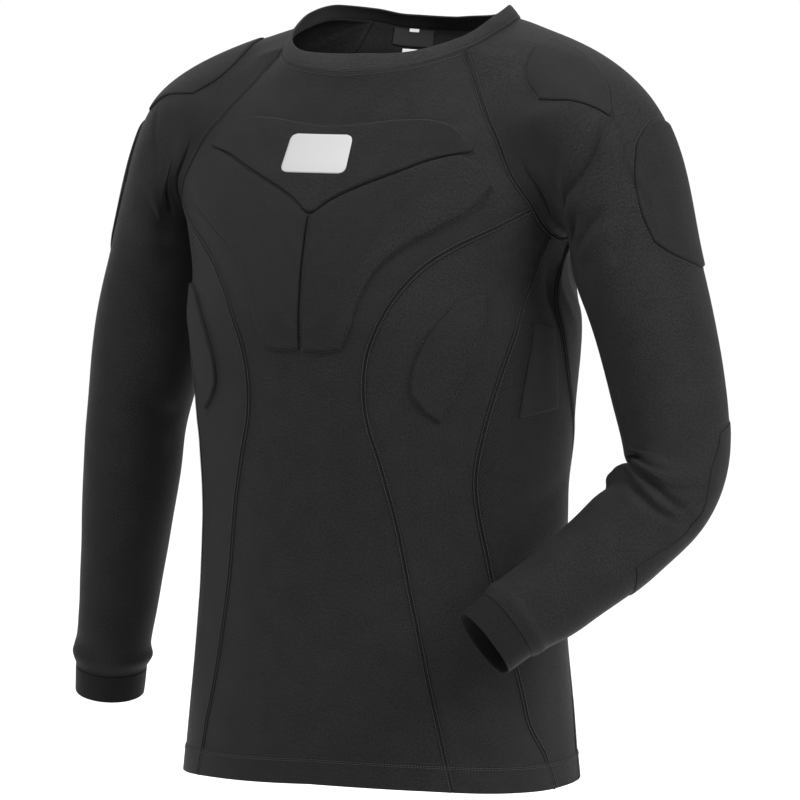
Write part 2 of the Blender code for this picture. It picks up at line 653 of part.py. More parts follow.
def pad_on(name, point, normal, height, colour):
    """A foam pad lying on a panel's points, low along its edge and full inside it."""
    full = np.full(point.shape[:2], height)
    full[[0, -1]] = PAD_EDGE
    full[:, [0, -1]] = PAD_EDGE
    wall(name, point + normal * (PAD_CLEAR + full)[..., None], point + normal * PAD_CLEAR, False, colour)


def pad_places(edges, steps):
    """The net of places inside a pad's four edges."""
    across_it, down_it = pad_edges(steps[0], PAD_RIM), pad_edges(steps[1], PAD_RIM)
    return patch(
        edge_at(edges["top"], across_it),
        edge_at(edges["bottom"], across_it),
        edge_at(edges["inner"], down_it),
        edge_at(edges["outer"], down_it),
    )


def trunk_pad(name, edges, steps, height, side):
    """A pad inside four edges on the trunk."""
    places = pad_places(edges, steps) * (side, 1)
    pad_on(name, trunk_point(places), trunk_normal(places), height, BLACK)


def sleeve_pad(name, edges, steps, clear, side):
    """A pad inside four edges on a sleeve."""
    places = pad_places(edges, steps)
    w, v = loop_at(places[..., 0]), places[..., 1]
    own = np.arange(v.size)
    point, normal = [net[own, own].reshape(*v.shape, 3) for net in sleeve_net(side, w.ravel(), v.ravel())]
    pad_on(name, point + normal * clear, normal, ARM_PAD, BLACK)


def build_pads():
    """The raised pads of the chest, ribs, sides, shoulders, upper arms and elbows."""
    rim = [(angle, z + GROOVE) for angle, z in V_GROOVE]
    groove = [(-angle, z) for angle, z in rim[:0:-1]] + rim
    crest = [(-angle, z) for angle, z in CHEST_TOP[:0:-1]] + CHEST_TOP
    upper = {"top": crest, "bottom": groove, "inner": [crest[0], groove[0]], "outer": [crest[-1], groove[-1]]}
    trunk_pad("chest_pad_upper", upper, (14, 4), CHEST_PAD, 1)
    for side, word in SIDES:
        trunk_pad(f"chest_pad_{word}", CHEST_LOWER, (7, 8), CHEST_PAD, side)
        trunk_pad(f"rib_pad_{word}", RIB, (4, 6), RIB_PAD, side)
        trunk_pad(f"side_pad_{word}", SIDE, (4, 5), SIDE_PAD, side)
        sleeve_pad(f"shoulder_pad_{word}", SHOULDER, (6, 8), BEND_CLEAR, side)
        sleeve_pad(f"arm_pad_{word}", UPPER_ARM, (8, 7), 0, side)
        sleeve_pad(f"elbow_pad_{word}", ELBOW, (10, 11), BEND_CLEAR, side)


def main():
    """Clear the scene and build every piece."""
    for item in list(bpy.data.objects):
        bpy.data.objects.remove(item, do_unlink=True)
    back = build_trunk()
    build_sleeves()
    build_neck(back)
    build_pads()


main()
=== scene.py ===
"""Padded compression shirt: its cloth, pads, sewing and labels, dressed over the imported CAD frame.

Metres, +Z up. The front faces -Y and the wearer's left is +X. The trunk is read in two coordinates,
the angle round it (0 at the centre front) and the height, and a sleeve in its way down (0 at the
raglan seam, 1 at the cuff seam) and the angle round the arm (0 outside, 90 in front, 180 at the
underarm), as in the CAD solids. Cloth is a thin shell on that form, with its creases raised in it.
"""

import logging
import math
from dataclasses import dataclass, field
from enum import Enum, IntEnum
from typing import ClassVar, NamedTuple, Sequence

import bpy
import numpy as np
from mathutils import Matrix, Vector


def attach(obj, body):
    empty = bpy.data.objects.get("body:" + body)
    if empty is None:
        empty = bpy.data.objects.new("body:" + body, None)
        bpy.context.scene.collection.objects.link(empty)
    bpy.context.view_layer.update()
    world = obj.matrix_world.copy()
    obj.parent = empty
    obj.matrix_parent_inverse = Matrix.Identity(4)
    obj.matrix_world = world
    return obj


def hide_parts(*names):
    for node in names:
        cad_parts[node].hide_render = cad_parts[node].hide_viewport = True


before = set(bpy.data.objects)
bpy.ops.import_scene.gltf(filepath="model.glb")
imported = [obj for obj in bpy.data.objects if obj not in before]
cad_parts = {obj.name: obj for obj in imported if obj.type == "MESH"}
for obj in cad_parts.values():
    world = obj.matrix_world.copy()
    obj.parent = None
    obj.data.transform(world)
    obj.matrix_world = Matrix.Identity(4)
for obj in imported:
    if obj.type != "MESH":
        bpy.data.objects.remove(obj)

LOG = logging.getLogger("padded_shirt")
Net = np.ndarray
BODY = "root"


class Side(Enum):
    """The wearer's two sides, with the sign of their x."""

    LEFT = 1
    RIGHT = -1

    @property
    def word(self) -> str:
        """The side's name in the frame's nodes."""
        return self.name.lower()


class Slot(Enum):
    """Material slots of the record."""

    KNIT = "black_knit"
    MESH = "black_mesh"
    NECK = "neck_knit"
    PAD = "pad_cover"
    LABEL = "label_cloth"
    TAB = "tab_cloth"


class RampSocket(IntEnum):
    """Input numbers of a Map Range node that works on vectors, where its names occur twice."""

    VALUE = 6
    FROM_MIN = 7
    FROM_MAX = 8
    TO_MIN = 9
    TO_MAX = 10


class MixSocket(IntEnum):
    """Input numbers of a Mix node that works on colours."""

    FIRST = 6
    SECOND = 7


RAMP_RESULT = 1
MIX_RESULT = 2


class Section(NamedTuple):
    """A level section of the trunk."""

    height: float
    half_width: float
    front: float
    back: float
    shift: float
    middle: float
    square: float


class Ring(NamedTuple):
    """A ring of a sleeve, its x given for the wearer's left."""

    way: float
    x: float
    y: float
    z: float
    half_width: float
    half_depth: float


class Fold(NamedTuple):
    """A large fold of a sleeve, as its solid has it: a long soft hump, or a trough below 0."""

    side: Side
    angle: float
    way: float
    slant: float
    half_length: float
    half_width: float
    height: float


def through(rows: Sequence[Sequence[float]], at: Net, eased: bool = True) -> Net:
    """Smooth cubic curve through a table's rows, its first column the position.

    Args:
        rows: the table; each row is a position and its values.
        at: positions asked for.
        eased: never swings past a row, which suits widths; otherwise every row is rounded.

    Returns:
        The values at those positions, in a new last axis.
    """
    table = np.asarray(rows, float)
    table = table[np.argsort(table[:, 0])]
    x, y = table[:, 0], table[:, 1:]
    gap = np.diff(x)[:, None]
    slope = np.diff(y, axis=0) / gap
    lean = np.zeros_like(y)
    lean[0], lean[-1] = slope[0], slope[-1]
    before, after = slope[:-1], slope[1:]
    if eased:
        same = before * after > 0
        lean[1:-1] = np.where(same, 2 * before * after / np.where(same, before + after, 1), 0.0)
    else:
        lean[1:-1] = (gap[1:] * before + gap[:-1] * after) / (gap[1:] + gap[:-1])
    at = np.clip(np.asarray(at, float), x[0], x[-1])
    k = np.clip(np.searchsorted(x, at, side="right") - 1, 0, len(x) - 2)
    step = gap[k]
    t = (at - x[k])[..., None] / step
    return (
        (2 * t**3 - 3 * t**2 + 1) * y[k]
        + (t**3 - 2 * t**2 + t) * step * lean[k]
        + (3 * t**2 - 2 * t**3) * y[k + 1]
        + (t**3 - t**2) * step * lean[k + 1]
    )


def ease(low: float, high: float, x: Net) -> Net:
    """Smooth step from 0 at low to 1 at high."""
    t = np.clip((np.asarray(x, float) - low) / (high - low), 0, 1)
    return t * t * (3 - 2 * t)


def unit(v: Net) -> Net:
    """Vectors brought to length one."""
    return v / np.maximum(np.linalg.norm(v, axis=-1, keepdims=True), 1e-12)


def bell(far: Net, width: float) -> Net:
    """A bell over a distance: e to the power of minus the square of far over width."""
    return np.exp(-((far / width) ** 2))


def rounded(far: Net, radius: float, rim: float) -> Net:
    """Share of a wall's thickness: rim at its edge, rising on a quarter circle to 1 at radius from it."""
    return rim + (1 - rim) * np.sqrt(1 - (1 - np.clip(far / radius, 0, 1)) ** 2)


def across(v: Net, n: Net) -> Net:
    """The part of v that lies across n, at length one."""
    return unit(v - (v * n).sum(-1, keepdims=True) * n)


def along(rows: Sequence[Sequence[float]], parts: Net, scale: Sequence[float] = (0.003, 1.0)) -> Net:
    """Points at parts 0..1 of the length of a smooth line through rows of places.

    Args:
        rows: places that the line passes.
        parts: how far along it, from 0 to 1.
        scale: metres in a unit of each coordinate, for its length.

    Returns:
        The places, one a part.
    """
    table = np.asarray(rows, float)
    parts = np.asarray(parts, float)
    if len(table) == 2:
        return table[0] + parts[:, None] * (table[1] - table[0])
    size = np.diff(table, axis=0) * scale
    way = np.concatenate([[0], np.cumsum(np.hypot(*size.T))])
    return through(np.column_stack([way / way[-1], table]), parts, eased=False)


def patch(top: Net, bottom: Net, left: Net, right: Net) -> Net:
    """A net of places inside four edges: the mean of both rulings, less that of the corners."""
    u = np.linspace(0, 1, len(top))[None, :, None]
    v = np.linspace(0, 1, len(left))[:, None, None]
    ruled = (1 - v) * top[None] + v * bottom[None] + (1 - u) * left[:, None] + u * right[:, None]
    upper = (1 - u) * (1 - v) * top[0] + u * (1 - v) * top[-1]
    lower = (1 - u) * v * bottom[0] + u * v * bottom[-1]
    return ruled - (upper + lower)


@dataclass(frozen=True)
class Crease:
    """A soft crease along a smooth line of places; a trough's height is below 0."""

    line: tuple[tuple[float, float], ...]
    height: float
    width: float
    segments: ClassVar[int] = 18
    end_share: ClassVar[float] = 0.15
    fullness: ClassVar[float] = 0.7
    widths_out: ClassVar[int] = 3

    def rise(self, place: Net, scale: tuple[float, float], turn: float = 0.0) -> Net:
        """Height of the crease at places: a bell across its line, which swells and fades along it.

        Args:
            place: places, in the line's own two coordinates.
            scale: metres in a unit of each coordinate.
            turn: how many units of the first coordinate make a whole turn, or 0.

        Returns:
            The rise at each place, in metres.
        """
        line = along(self.line, np.linspace(0, 1, self.segments + 1), scale) * scale
        spot = place * scale
        if turn:
            whole = turn * scale[0]
            middle = line[:, 0].mean()
            spot[..., 0] = np.mod(spot[..., 0] - middle + whole / 2, whole) - whole / 2 + middle
        reach = self.widths_out * self.width
        near = ((spot > line.min(axis=0) - reach) & (spot < line.max(axis=0) + reach)).all(axis=-1)
        spot = spot[near]
        best, where = np.full(len(spot), np.inf), np.zeros(len(spot))
        for index, (start, stop) in enumerate(zip(line[:-1], line[1:])):
            step = stop - start
            part = np.clip((spot - start) @ step / (step @ step), 0, 1)
            far = np.hypot(*(spot - start - part[:, None] * step).T)
            nearer = far < best
            best = np.where(nearer, far, best)
            where = np.where(nearer, (index + part) / self.segments, where)
        swell = self.end_share + (1 - self.end_share) * np.sin(math.pi * where) ** self.fullness
        rise = np.zeros(near.shape)
        rise[near] = self.height * swell * bell(best, self.width)
        return rise


@dataclass(frozen=True)
class Trunk:
    """The trunk's form: a superellipse at each height, its seams and its creases."""

    sections: tuple[Section, ...] = (
        Section(-0.735, 0.196, 0.121, 0.127, -0.001, -0.046, 2.55),
        Section(-0.600, 0.182, 0.119, 0.123, -0.001, -0.045, 2.42),
        Section(-0.520, 0.175, 0.125, 0.120, 0.000, -0.041, 2.38),
        Section(-0.440, 0.174, 0.136, 0.119, 0.001, -0.036, 2.35),
        Section(-0.360, 0.179, 0.143, 0.124, 0.003, -0.037, 2.35),
        Section(-0.280, 0.186, 0.144, 0.129, 0.003, -0.040, 2.35),
        Section(-0.240, 0.182, 0.137, 0.132, 0.002, -0.043, 2.32),
        Section(-0.195, 0.191, 0.124, 0.134, 0.001, -0.046, 2.25),
        Section(-0.150, 0.205, 0.113, 0.130, 0.000, -0.041, 2.15),
        Section(-0.115, 0.202, 0.106, 0.124, 0.000, -0.031, 2.10),
        Section(-0.090, 0.182, 0.102, 0.118, 0.000, -0.023, 2.05),
        Section(-0.060, 0.145, 0.100, 0.112, 0.000, -0.013, 2.00),
        Section(-0.032, 0.112, 0.101, 0.110, 0.000, -0.007, 2.00),
        Section(-0.005, 0.106, 0.098, 0.107, 0.000, -0.002, 2.00),
        Section(0.030, 0.092, 0.092, 0.098, 0.000, 0.002, 2.00),
    )
    neck_seam: tuple = (
        (0, -0.0525), (30, -0.0475), (62, -0.032), (88, -0.013), (110, -0.004), (132, -0.007),
        (150, -0.013), (180, -0.016),
    )
    hem_height: float = -0.692
    hem_tilt: float = 0.006
    hem_line: tuple = ((0, 0.000), (45, -0.002), (70, -0.006), (90, -0.009), (180, -0.010))
    raglan_front: tuple = (
        (62, -0.032), (63, -0.055), (63.6, -0.077), (65, -0.098), (67.3, -0.121), (70.5, -0.146),
        (76, -0.170),
    )
    strip_top: tuple = ((76, -0.170), (80, -0.184), (84, -0.193))
    side_top: tuple = ((84, -0.193), (90, -0.199), (97, -0.195))
    raglan_back: tuple = (
        (97, -0.195), (103, -0.176), (108, -0.150), (112, -0.120), (116, -0.090), (121, -0.060),
        (127, -0.032), (132, -0.007),
    )
    princess: tuple = (
        (76, -0.170), (66, -0.188), (56, -0.203), (46.5, -0.220), (38, -0.242), (31, -0.268), (26, -0.298),
        (24, -0.335), (25, -0.365), (29, -0.400), (35, -0.455), (41, -0.520), (46.5, -0.580), (51, -0.640),
        (55, -0.705),
    )
    side_front: tuple = (
        (84, -0.193), (79, -0.232), (73, -0.262), (68.5, -0.295), (64, -0.335), (60.5, -0.375), (59, -0.412),
        (60.5, -0.446), (64.5, -0.490), (69, -0.535), (74, -0.580), (76.5, -0.610), (79, -0.645),
        (84, -0.672), (88, -0.705),
    )
    side_back: tuple = (
        (97, -0.195), (91, -0.235), (89, -0.265), (91, -0.290), (95, -0.325), (102, -0.362), (109, -0.395),
        (114, -0.430), (116, -0.480), (115, -0.540), (112, -0.600), (107, -0.650), (103, -0.705),
    )
    creases: tuple[Crease, ...] = (
        Crease(((69, -0.206), (76, -0.207), (83, -0.211)), -0.0016, 0.0026),
        Crease(((70, -0.215), (77, -0.218), (84, -0.221)), -0.0014, 0.0028),
        Crease(((68, -0.224), (75, -0.229), (82, -0.231)), -0.0010, 0.0034),
        Crease(((80, -0.203), (79, -0.222), (75, -0.246)), 0.0012, 0.0030),
        Crease(((86, -0.212), (86, -0.250), (90, -0.290)), -0.0020, 0.0050),
        Crease(((91, -0.207), (93, -0.245), (99, -0.280)), 0.0016, 0.0050),
        Crease(((98, -0.205), (103, -0.235), (112, -0.262)), -0.0022, 0.0060),
        Crease(((102, -0.188), (110, -0.212), (122, -0.228)), 0.0018, 0.0060),
        Crease(((74, -0.158), (66, -0.166), (60, -0.172)), -0.0009, 0.0040),
        Crease(((62, -0.380), (50, -0.398), (36, -0.405)), -0.0009, 0.0120),
        Crease(((100, -0.420), (86, -0.436), (68, -0.440)), -0.0014, 0.0100),
        Crease(((104, -0.452), (88, -0.470), (66, -0.478)), 0.0011, 0.0110),
        Crease(((126, -0.400), (150, -0.424), (178, -0.428)), -0.0018, 0.0120),
        Crease(((122, -0.446), (146, -0.466), (170, -0.470)), 0.0014, 0.0120),
        Crease(((120, -0.492), (140, -0.512), (160, -0.514)), -0.0012, 0.0130),
        Crease(((112, -0.118), (128, -0.158), (140, -0.206)), -0.0014, 0.0100),
        Crease(((148, -0.086), (162, -0.092), (178, -0.090)), -0.0009, 0.0110),
        Crease(((60, -0.640), (40, -0.652), (18, -0.655)), 0.0008, 0.0130),
    )
    mean_radius: float = 0.165
    unevenness: float = 0.00022
    smooth_above: tuple = (-0.04, -0.11)

    def point(self, place: Net) -> Net:
        """Points of the smooth form: |x/half width|^n + |y/depth|^n = 1 at each height."""
        angle, z = np.radians(place[..., 0]), place[..., 1]
        half_width, front, back, shift, middle, square = np.moveaxis(through(self.sections, z), -1, 0)
        s, c = np.sin(angle), np.cos(angle)
        depth = np.where(c > 0, front, back)
        r = ((np.abs(s) / half_width) ** square + (np.abs(c) / depth) ** square) ** (-1 / square)
        return np.stack([shift + r * s, middle - r * c, z], -1)

    def normal(self, place: Net) -> Net:
        """Outward normals of the smooth form."""
        turn, lift = np.array([0.5, 0.0]), np.array([0.0, 0.001])
        round_it = self.point(place + turn) - self.point(place - turn)
        down_it = self.point(place - lift) - self.point(place + lift)
        return unit(np.cross(down_it, round_it))

    def relief(self, place: Net) -> Net:
        """Creases on both sides, and the slight unevenness that all the cloth has."""
        scale = (math.radians(1) * self.mean_radius, 1.0)
        rise = np.zeros(place.shape[:-1])
        for side in Side:
            own = place * (side.value, 1)
            for crease in self.creases:
                rise += crease.rise(own, scale, 360.0)
        turn, z = np.radians(place[..., 0]), place[..., 1]
        soft = np.sin(3 * turn + 21 * z) + 0.7 * np.sin(5 * turn - 33 * z + 1.2)
        soft += 0.5 * np.sin(2 * turn + 52 * z)
        return rise + self.unevenness * soft * ease(*self.smooth_above, z)

    def surface(self, place: Net) -> tuple[Net, Net]:
        """Points of the creased cloth and the smooth form's normals."""
        normal = self.normal(place)
        return self.point(place) + normal * self.relief(place)[..., None], normal

    def seam_at(self, rows: Sequence[Sequence[float]], parts: Net) -> Net:
        """Places of a seam at parts 0..1 of its drop in height."""
        table = [(z, angle) for angle, z in rows]
        z = rows[0][1] + np.asarray(parts, float) * (rows[-1][1] - rows[0][1])
        return np.stack([through(table, z, eased=False)[..., 0], z], -1)

    def neck(self, angle: Net) -> Net:
        """Places of the neck seam at angles."""
        angle = np.asarray(angle, float)
        return np.stack([angle, through(self.neck_seam, folded(angle))[..., 0]], -1)

    def hem(self, angle: Net) -> Net:
        """Places of the lower edge at angles."""
        angle = np.asarray(angle, float)
        drop = through(self.hem_line, folded(angle))[..., 0]
        tilt = self.hem_tilt * np.sin(np.radians(angle))
        return np.stack([angle, self.hem_height + drop + tilt], -1)

    def long_seam(self, rows: Sequence[Sequence[float]], side: Side, parts: Net) -> Net:
        """Places of a seam from the raglan seam to the hem on one side."""
        places = self.seam_at(rows, parts)
        end = self.hem(np.array(side.value * rows[-1][0]))[1]
        start = rows[0][1]
        places[:, 1] = start + (places[:, 1] - start) * (end - start) / (rows[-1][1] - start)
        return places * (side.value, 1)

    def moved(self, places: Net, offset: float) -> Net:
        """Places beside a line of places, at a distance in metres to its right seen from outside.

        Args:
            places: the line.
            offset: the distance, negative to its left.

        Returns:
            The places beside it.
        """
        step = np.array([0.5, 0.0])
        degree = np.linalg.norm(self.point(places + step) - self.point(places - step), axis=-1)
        run = unit(np.gradient(places, axis=0) * np.stack([degree, np.ones_like(degree)], -1))
        return places + offset * np.stack([-run[:, 1] / degree, run[:, 0]], -1)


def folded(angle: Net) -> Net:
    """Angles brought to 0..180, the same on both sides."""
    return np.abs(np.mod(np.asarray(angle, float) + 180, 360) - 180)


TRUNK = Trunk()


@dataclass
class SleeveForm:
    """A sleeve's form: from the raglan seam over a shoulder ring on to the rings of the arm."""

    side: Side
    rings: tuple[Ring, ...]
    creases: tuple[Crease, ...]
    folds: tuple[Fold, ...]
    loop_turns: tuple = ((0, -24), (1, 24), (2, 128), (3, 155), (4, 205), (5, 336))
    corners: tuple = (0, 1, 5)
    corner_soft: float = 0.45
    corner_width: float = 0.4
    corner_parts: tuple = (-1, -0.66, -0.33, 0, 0.33, 0.66, 1)
    corner_shares: tuple = (0.07, 0.13, 0.19, 0.22, 0.19, 0.13, 0.07)
    underarm_arch: float = 0.008
    shoulder_lift: float = 0.30
    underarm_share: tuple = (0.5, 0.45, 0.12)
    over_span: tuple = (-0.55, 0.15)
    straight_span: tuple = (0.75, 0.95)
    least_straight: float = 0.5
    more_straight: float = 0.4
    hold_way: float = 0.03
    end_swell: float = 0.0016
    end_at: float = 0.972
    end_reach: float = 0.013
    end_drop: float = 0.0016
    drop_span: tuple = (0.982, 1.0)
    unevenness: float = 0.0003
    length: float = 0.52
    mean_radius: float = 0.055
    frames: Net = field(init=False)
    ways: Net = field(init=False)

    def __post_init__(self) -> None:
        """Works out the arm's middles and directions: each frame is the one before, turned."""
        sign = self.side.value
        rows = [(r.way, sign * r.x, r.y, r.z, r.half_width, r.half_depth) for r in self.rings]
        self.ways = np.linspace(rows[0][0], rows[-1][0], 90)
        middle = through(rows, self.ways, eased=False)[:, :3]
        sizes = through(rows, self.ways)[:, 3:]
        run = unit(np.gradient(middle, axis=0))
        out = [across(np.array([sign, 0.0, 0.0]), run[0])]
        for tangent in run[1:]:
            out.append(across(out[-1], tangent))
        outward = np.array(out)
        front = np.cross(run, outward) * sign
        self.frames = np.hstack([middle, outward, front, sizes])

    def loop(self, w: Net) -> tuple[Net, Net]:
        """Places and arm angles round the sleeve's head.

        Args:
            w: position round it: 0 neck, 1 front seam, 2 strip, 3 side panel, 4 back seam.

        Returns:
            Places on the trunk, and angles round the arm in radians.
        """
        w = np.mod(np.asarray(w, float), 5)
        part = w - np.floor(w)
        neck_end, front_end = TRUNK.raglan_back[-1][0], TRUNK.raglan_front[0][0]
        stretches = [
            TRUNK.neck(neck_end + part * (front_end - neck_end)),
            TRUNK.seam_at(TRUNK.raglan_front, part),
            along(TRUNK.strip_top, part),
            along(TRUNK.side_top, part),
            TRUNK.seam_at(TRUNK.raglan_back, part),
        ]
        places = np.choose(np.floor(w).astype(int)[:, None], stretches)
        return places * (self.side.value, 1), np.radians(through(self.loop_turns, w)[..., 0])

    def loop_at(self, turn: Net) -> Net:
        """Loop positions at angles round the arm, in degrees."""
        w = np.linspace(0, 5, 1001)
        first = self.loop_turns[0][1]
        return np.interp(np.mod(turn - first, 360) + first, through(self.loop_turns, w)[:, 0], w)

    def ring_point(self, way: Net, turn: Net) -> Net:
        """Points of the arm's rings: its middle, plus the outward and forward half sizes turned."""
        way, turn = np.broadcast_arrays(way, turn)
        row = np.stack([np.interp(way, self.ways, column) for column in self.frames.T], -1)
        middle, out, front = row[..., 0:3], row[..., 3:6], row[..., 6:9]
        reach = out * (np.cos(turn) * row[..., 9])[..., None]
        return middle + reach + front * (np.sin(turn) * row[..., 10])[..., None]

    def plain(self, w: Net, way: Net) -> Net:
        """Net of the sleeve with its head's corners kept: cubic spans from seam to shoulder to arm."""
        places, turn = self.loop(w)
        head = TRUNK.point(places)
        near = [TRUNK.point(self.loop(w + d)[0]) for d in (-0.06, 0.06)]
        normal = TRUNK.normal(places)
        leave = across(np.cross(normal, near[1] - near[0]) * self.side.value, normal)
        top, low = self.rings[0].way, self.rings[1].way
        arm = self.ring_point(low, turn)
        over = ease(*self.over_span, np.cos(turn))[:, None]
        under = head + (arm - head) * self.underarm_share + (0, 0, self.underarm_arch)
        shoulder = over * self.ring_point(top, turn) + (1 - over) * under
        reach = np.linalg.norm(shoulder - head, axis=1, keepdims=True)
        straight = self.least_straight + self.more_straight * ease(*self.straight_span, np.cos(turn))[:, None]
        towards = unit(shoulder - head) + self.shoulder_lift * over * (0, 0, 1)
        lean_head = unit(leave * (1 - straight) + unit(towards) * straight) * reach / top
        lean_shoulder = (arm - head) / low
        step = 0.01
        lean_arm = (self.ring_point(low + step, turn) - arm) / step
        first = hermite(np.clip(way / top, 0, 1), top, head, lean_head, shoulder, lean_shoulder)
        along_arm = np.clip((way - top) / (low - top), 0, 1)
        second = hermite(along_arm, low - top, shoulder, lean_shoulder, arm, lean_arm)
        rest = self.ring_point(np.maximum(way, low)[:, None], turn[None])
        way = way[:, None, None]
        return np.where(way < top, first, np.where(way < low, second, rest))

    def smooth(self, w: Net, way: Net) -> Net:
        """Net of the sleeve without folds: below the head's seam its two corners are rounded off."""
        w, way = np.asarray(w, float), np.asarray(way, float)
        near = sum(bell(w - corner, self.corner_width) for corner in self.corners)
        soft = self.corner_soft * near
        plain = self.plain(w, way)
        pairs = zip(self.corner_parts, self.corner_shares)
        mean = sum(share * self.plain(w + part * soft, way) for part, share in pairs)
        return plain + (mean - plain) * ease(0, 0.045, way)[:, None, None]

    def relief(self, turn: Net, way: Net) -> Net:
        """Rise of folds and creases at angles in degrees and ways down, which have one shape."""
        rise = np.zeros(turn.shape)
        for fold in self.folds:
            if fold.side is not self.side:
                continue
            round_way = np.radians(np.mod(turn - fold.angle + 180, 360) - 180) * self.mean_radius
            down_way = (way - fold.way) * self.length
            c, s = math.cos(math.radians(fold.slant)), math.sin(math.radians(fold.slant))
            rise += fold.height * np.exp(
                -(((round_way * c + down_way * s) / fold.half_length) ** 2)
                - ((down_way * c - round_way * s) / fold.half_width) ** 2
            )
        scale = (math.radians(1) * self.mean_radius, self.length)
        place = np.stack([turn, way], -1)
        for crease in self.creases:
            rise += crease.rise(place, scale, 360.0)
        angle = np.radians(turn)
        soft = np.sin(2 * angle + 31 * way) + 0.6 * np.sin(3 * angle - 47 * way + 0.7)
        uneven = 1 + 0.45 * np.sin(2 * angle + 0.6) + 0.3 * np.sin(5 * angle + 2.0)
        swell = self.end_swell * uneven * bell(way - self.end_at, self.end_reach)
        end = swell - self.end_drop * ease(*self.drop_span, way)
        return rise + self.unevenness * soft * ease(0.02, 0.1, way) + end

    def surface(self, w: Net, way: Net) -> tuple[Net, Net]:
        """Net of the creased cloth and of the smooth form's outward normals.

        Args:
            w: loop positions, a column each.
            way: ways down, a row each.

        Returns:
            Points and normals, rows by columns.
        """
        w, way = np.asarray(w, float), np.asarray(way, float)
        dw, dv = 0.04, 0.004
        plain = self.smooth(w, way)
        round_it = self.smooth(w + dw, way) - self.smooth(w - dw, way)
        last = self.rings[-1].way
        down_it = self.smooth(w, np.minimum(way + dv, last)) - self.smooth(w, np.maximum(way - dv, 0))
        normal = unit(np.cross(down_it, round_it) * -self.side.value)
        places, turn = self.loop(w)
        hold = ease(self.hold_way, 0.0, way)[:, None, None]
        normal = unit(normal * (1 - hold) + TRUNK.normal(places) * hold)
        turns, ways = np.broadcast_arrays(np.degrees(turn)[None], way[:, None])
        return plain + normal * self.relief(turns, ways)[..., None], normal


def hermite(t: Net, size: float, a: Net, lean_a: Net, b: Net, lean_b: Net) -> Net:
    """Cubic span between two lines of points with their leans, a row for each t."""
    t = t[:, None, None]
    return (
        (2 * t**3 - 3 * t**2 + 1) * a
        + (t**3 - 2 * t**2 + t) * size * lean_a
        + (3 * t**2 - 2 * t**3) * b
        + (t**3 - t**2) * size * lean_b
    )


LEFT_RINGS = (
    Ring(0.16, 0.207, -0.036, -0.100, 0.069, 0.069),
    Ring(0.34, 0.271, -0.038, -0.238, 0.056, 0.060),
    Ring(0.46, 0.295, -0.037, -0.325, 0.052, 0.053),
    Ring(0.56, 0.308, -0.044, -0.391, 0.047, 0.049),
    Ring(0.63, 0.305, -0.064, -0.423, 0.046, 0.048),
    Ring(0.71, 0.285, -0.096, -0.457, 0.045, 0.045),
    Ring(0.84, 0.249, -0.142, -0.499, 0.042, 0.041),
    Ring(1.00, 0.215, -0.182, -0.531, 0.037, 0.037),
    Ring(1.05, 0.202, -0.198, -0.545, 0.036, 0.036),
)
RIGHT_RINGS = (
    Ring(0.16, 0.190, -0.030, -0.101, 0.063, 0.066),
    Ring(0.34, 0.248, -0.042, -0.248, 0.052, 0.061),
    Ring(0.46, 0.260, -0.050, -0.322, 0.053, 0.057),
    Ring(0.56, 0.269, -0.054, -0.385, 0.048, 0.053),
    Ring(0.68, 0.280, -0.052, -0.460, 0.045, 0.049),
    Ring(0.84, 0.297, -0.043, -0.545, 0.039, 0.042),
    Ring(1.00, 0.314, -0.035, -0.625, 0.036, 0.037),
    Ring(1.05, 0.319, -0.031, -0.651, 0.035, 0.036),
)
FOLDS = (
    Fold(Side.LEFT, 152, 0.602, 0, 0.060, 0.012, -0.007),
    Fold(Side.LEFT, 150, 0.635, 0, 0.050, 0.012, 0.005),
    Fold(Side.LEFT, 92, 0.662, 6, 0.045, 0.013, -0.005),
    Fold(Side.LEFT, 70, 0.622, -8, 0.045, 0.012, 0.003),
    Fold(Side.LEFT, 95, 0.275, 35, 0.035, 0.016, 0.0022),
    Fold(Side.LEFT, 120, 0.225, 30, 0.030, 0.015, -0.0022),
    Fold(Side.RIGHT, 95, 0.270, 35, 0.035, 0.016, 0.003),
    Fold(Side.RIGHT, 165, 0.560, 10, 0.040, 0.018, -0.004),
    Fold(Side.RIGHT, 120, 0.940, 8, 0.045, 0.014, 0.0025),
)
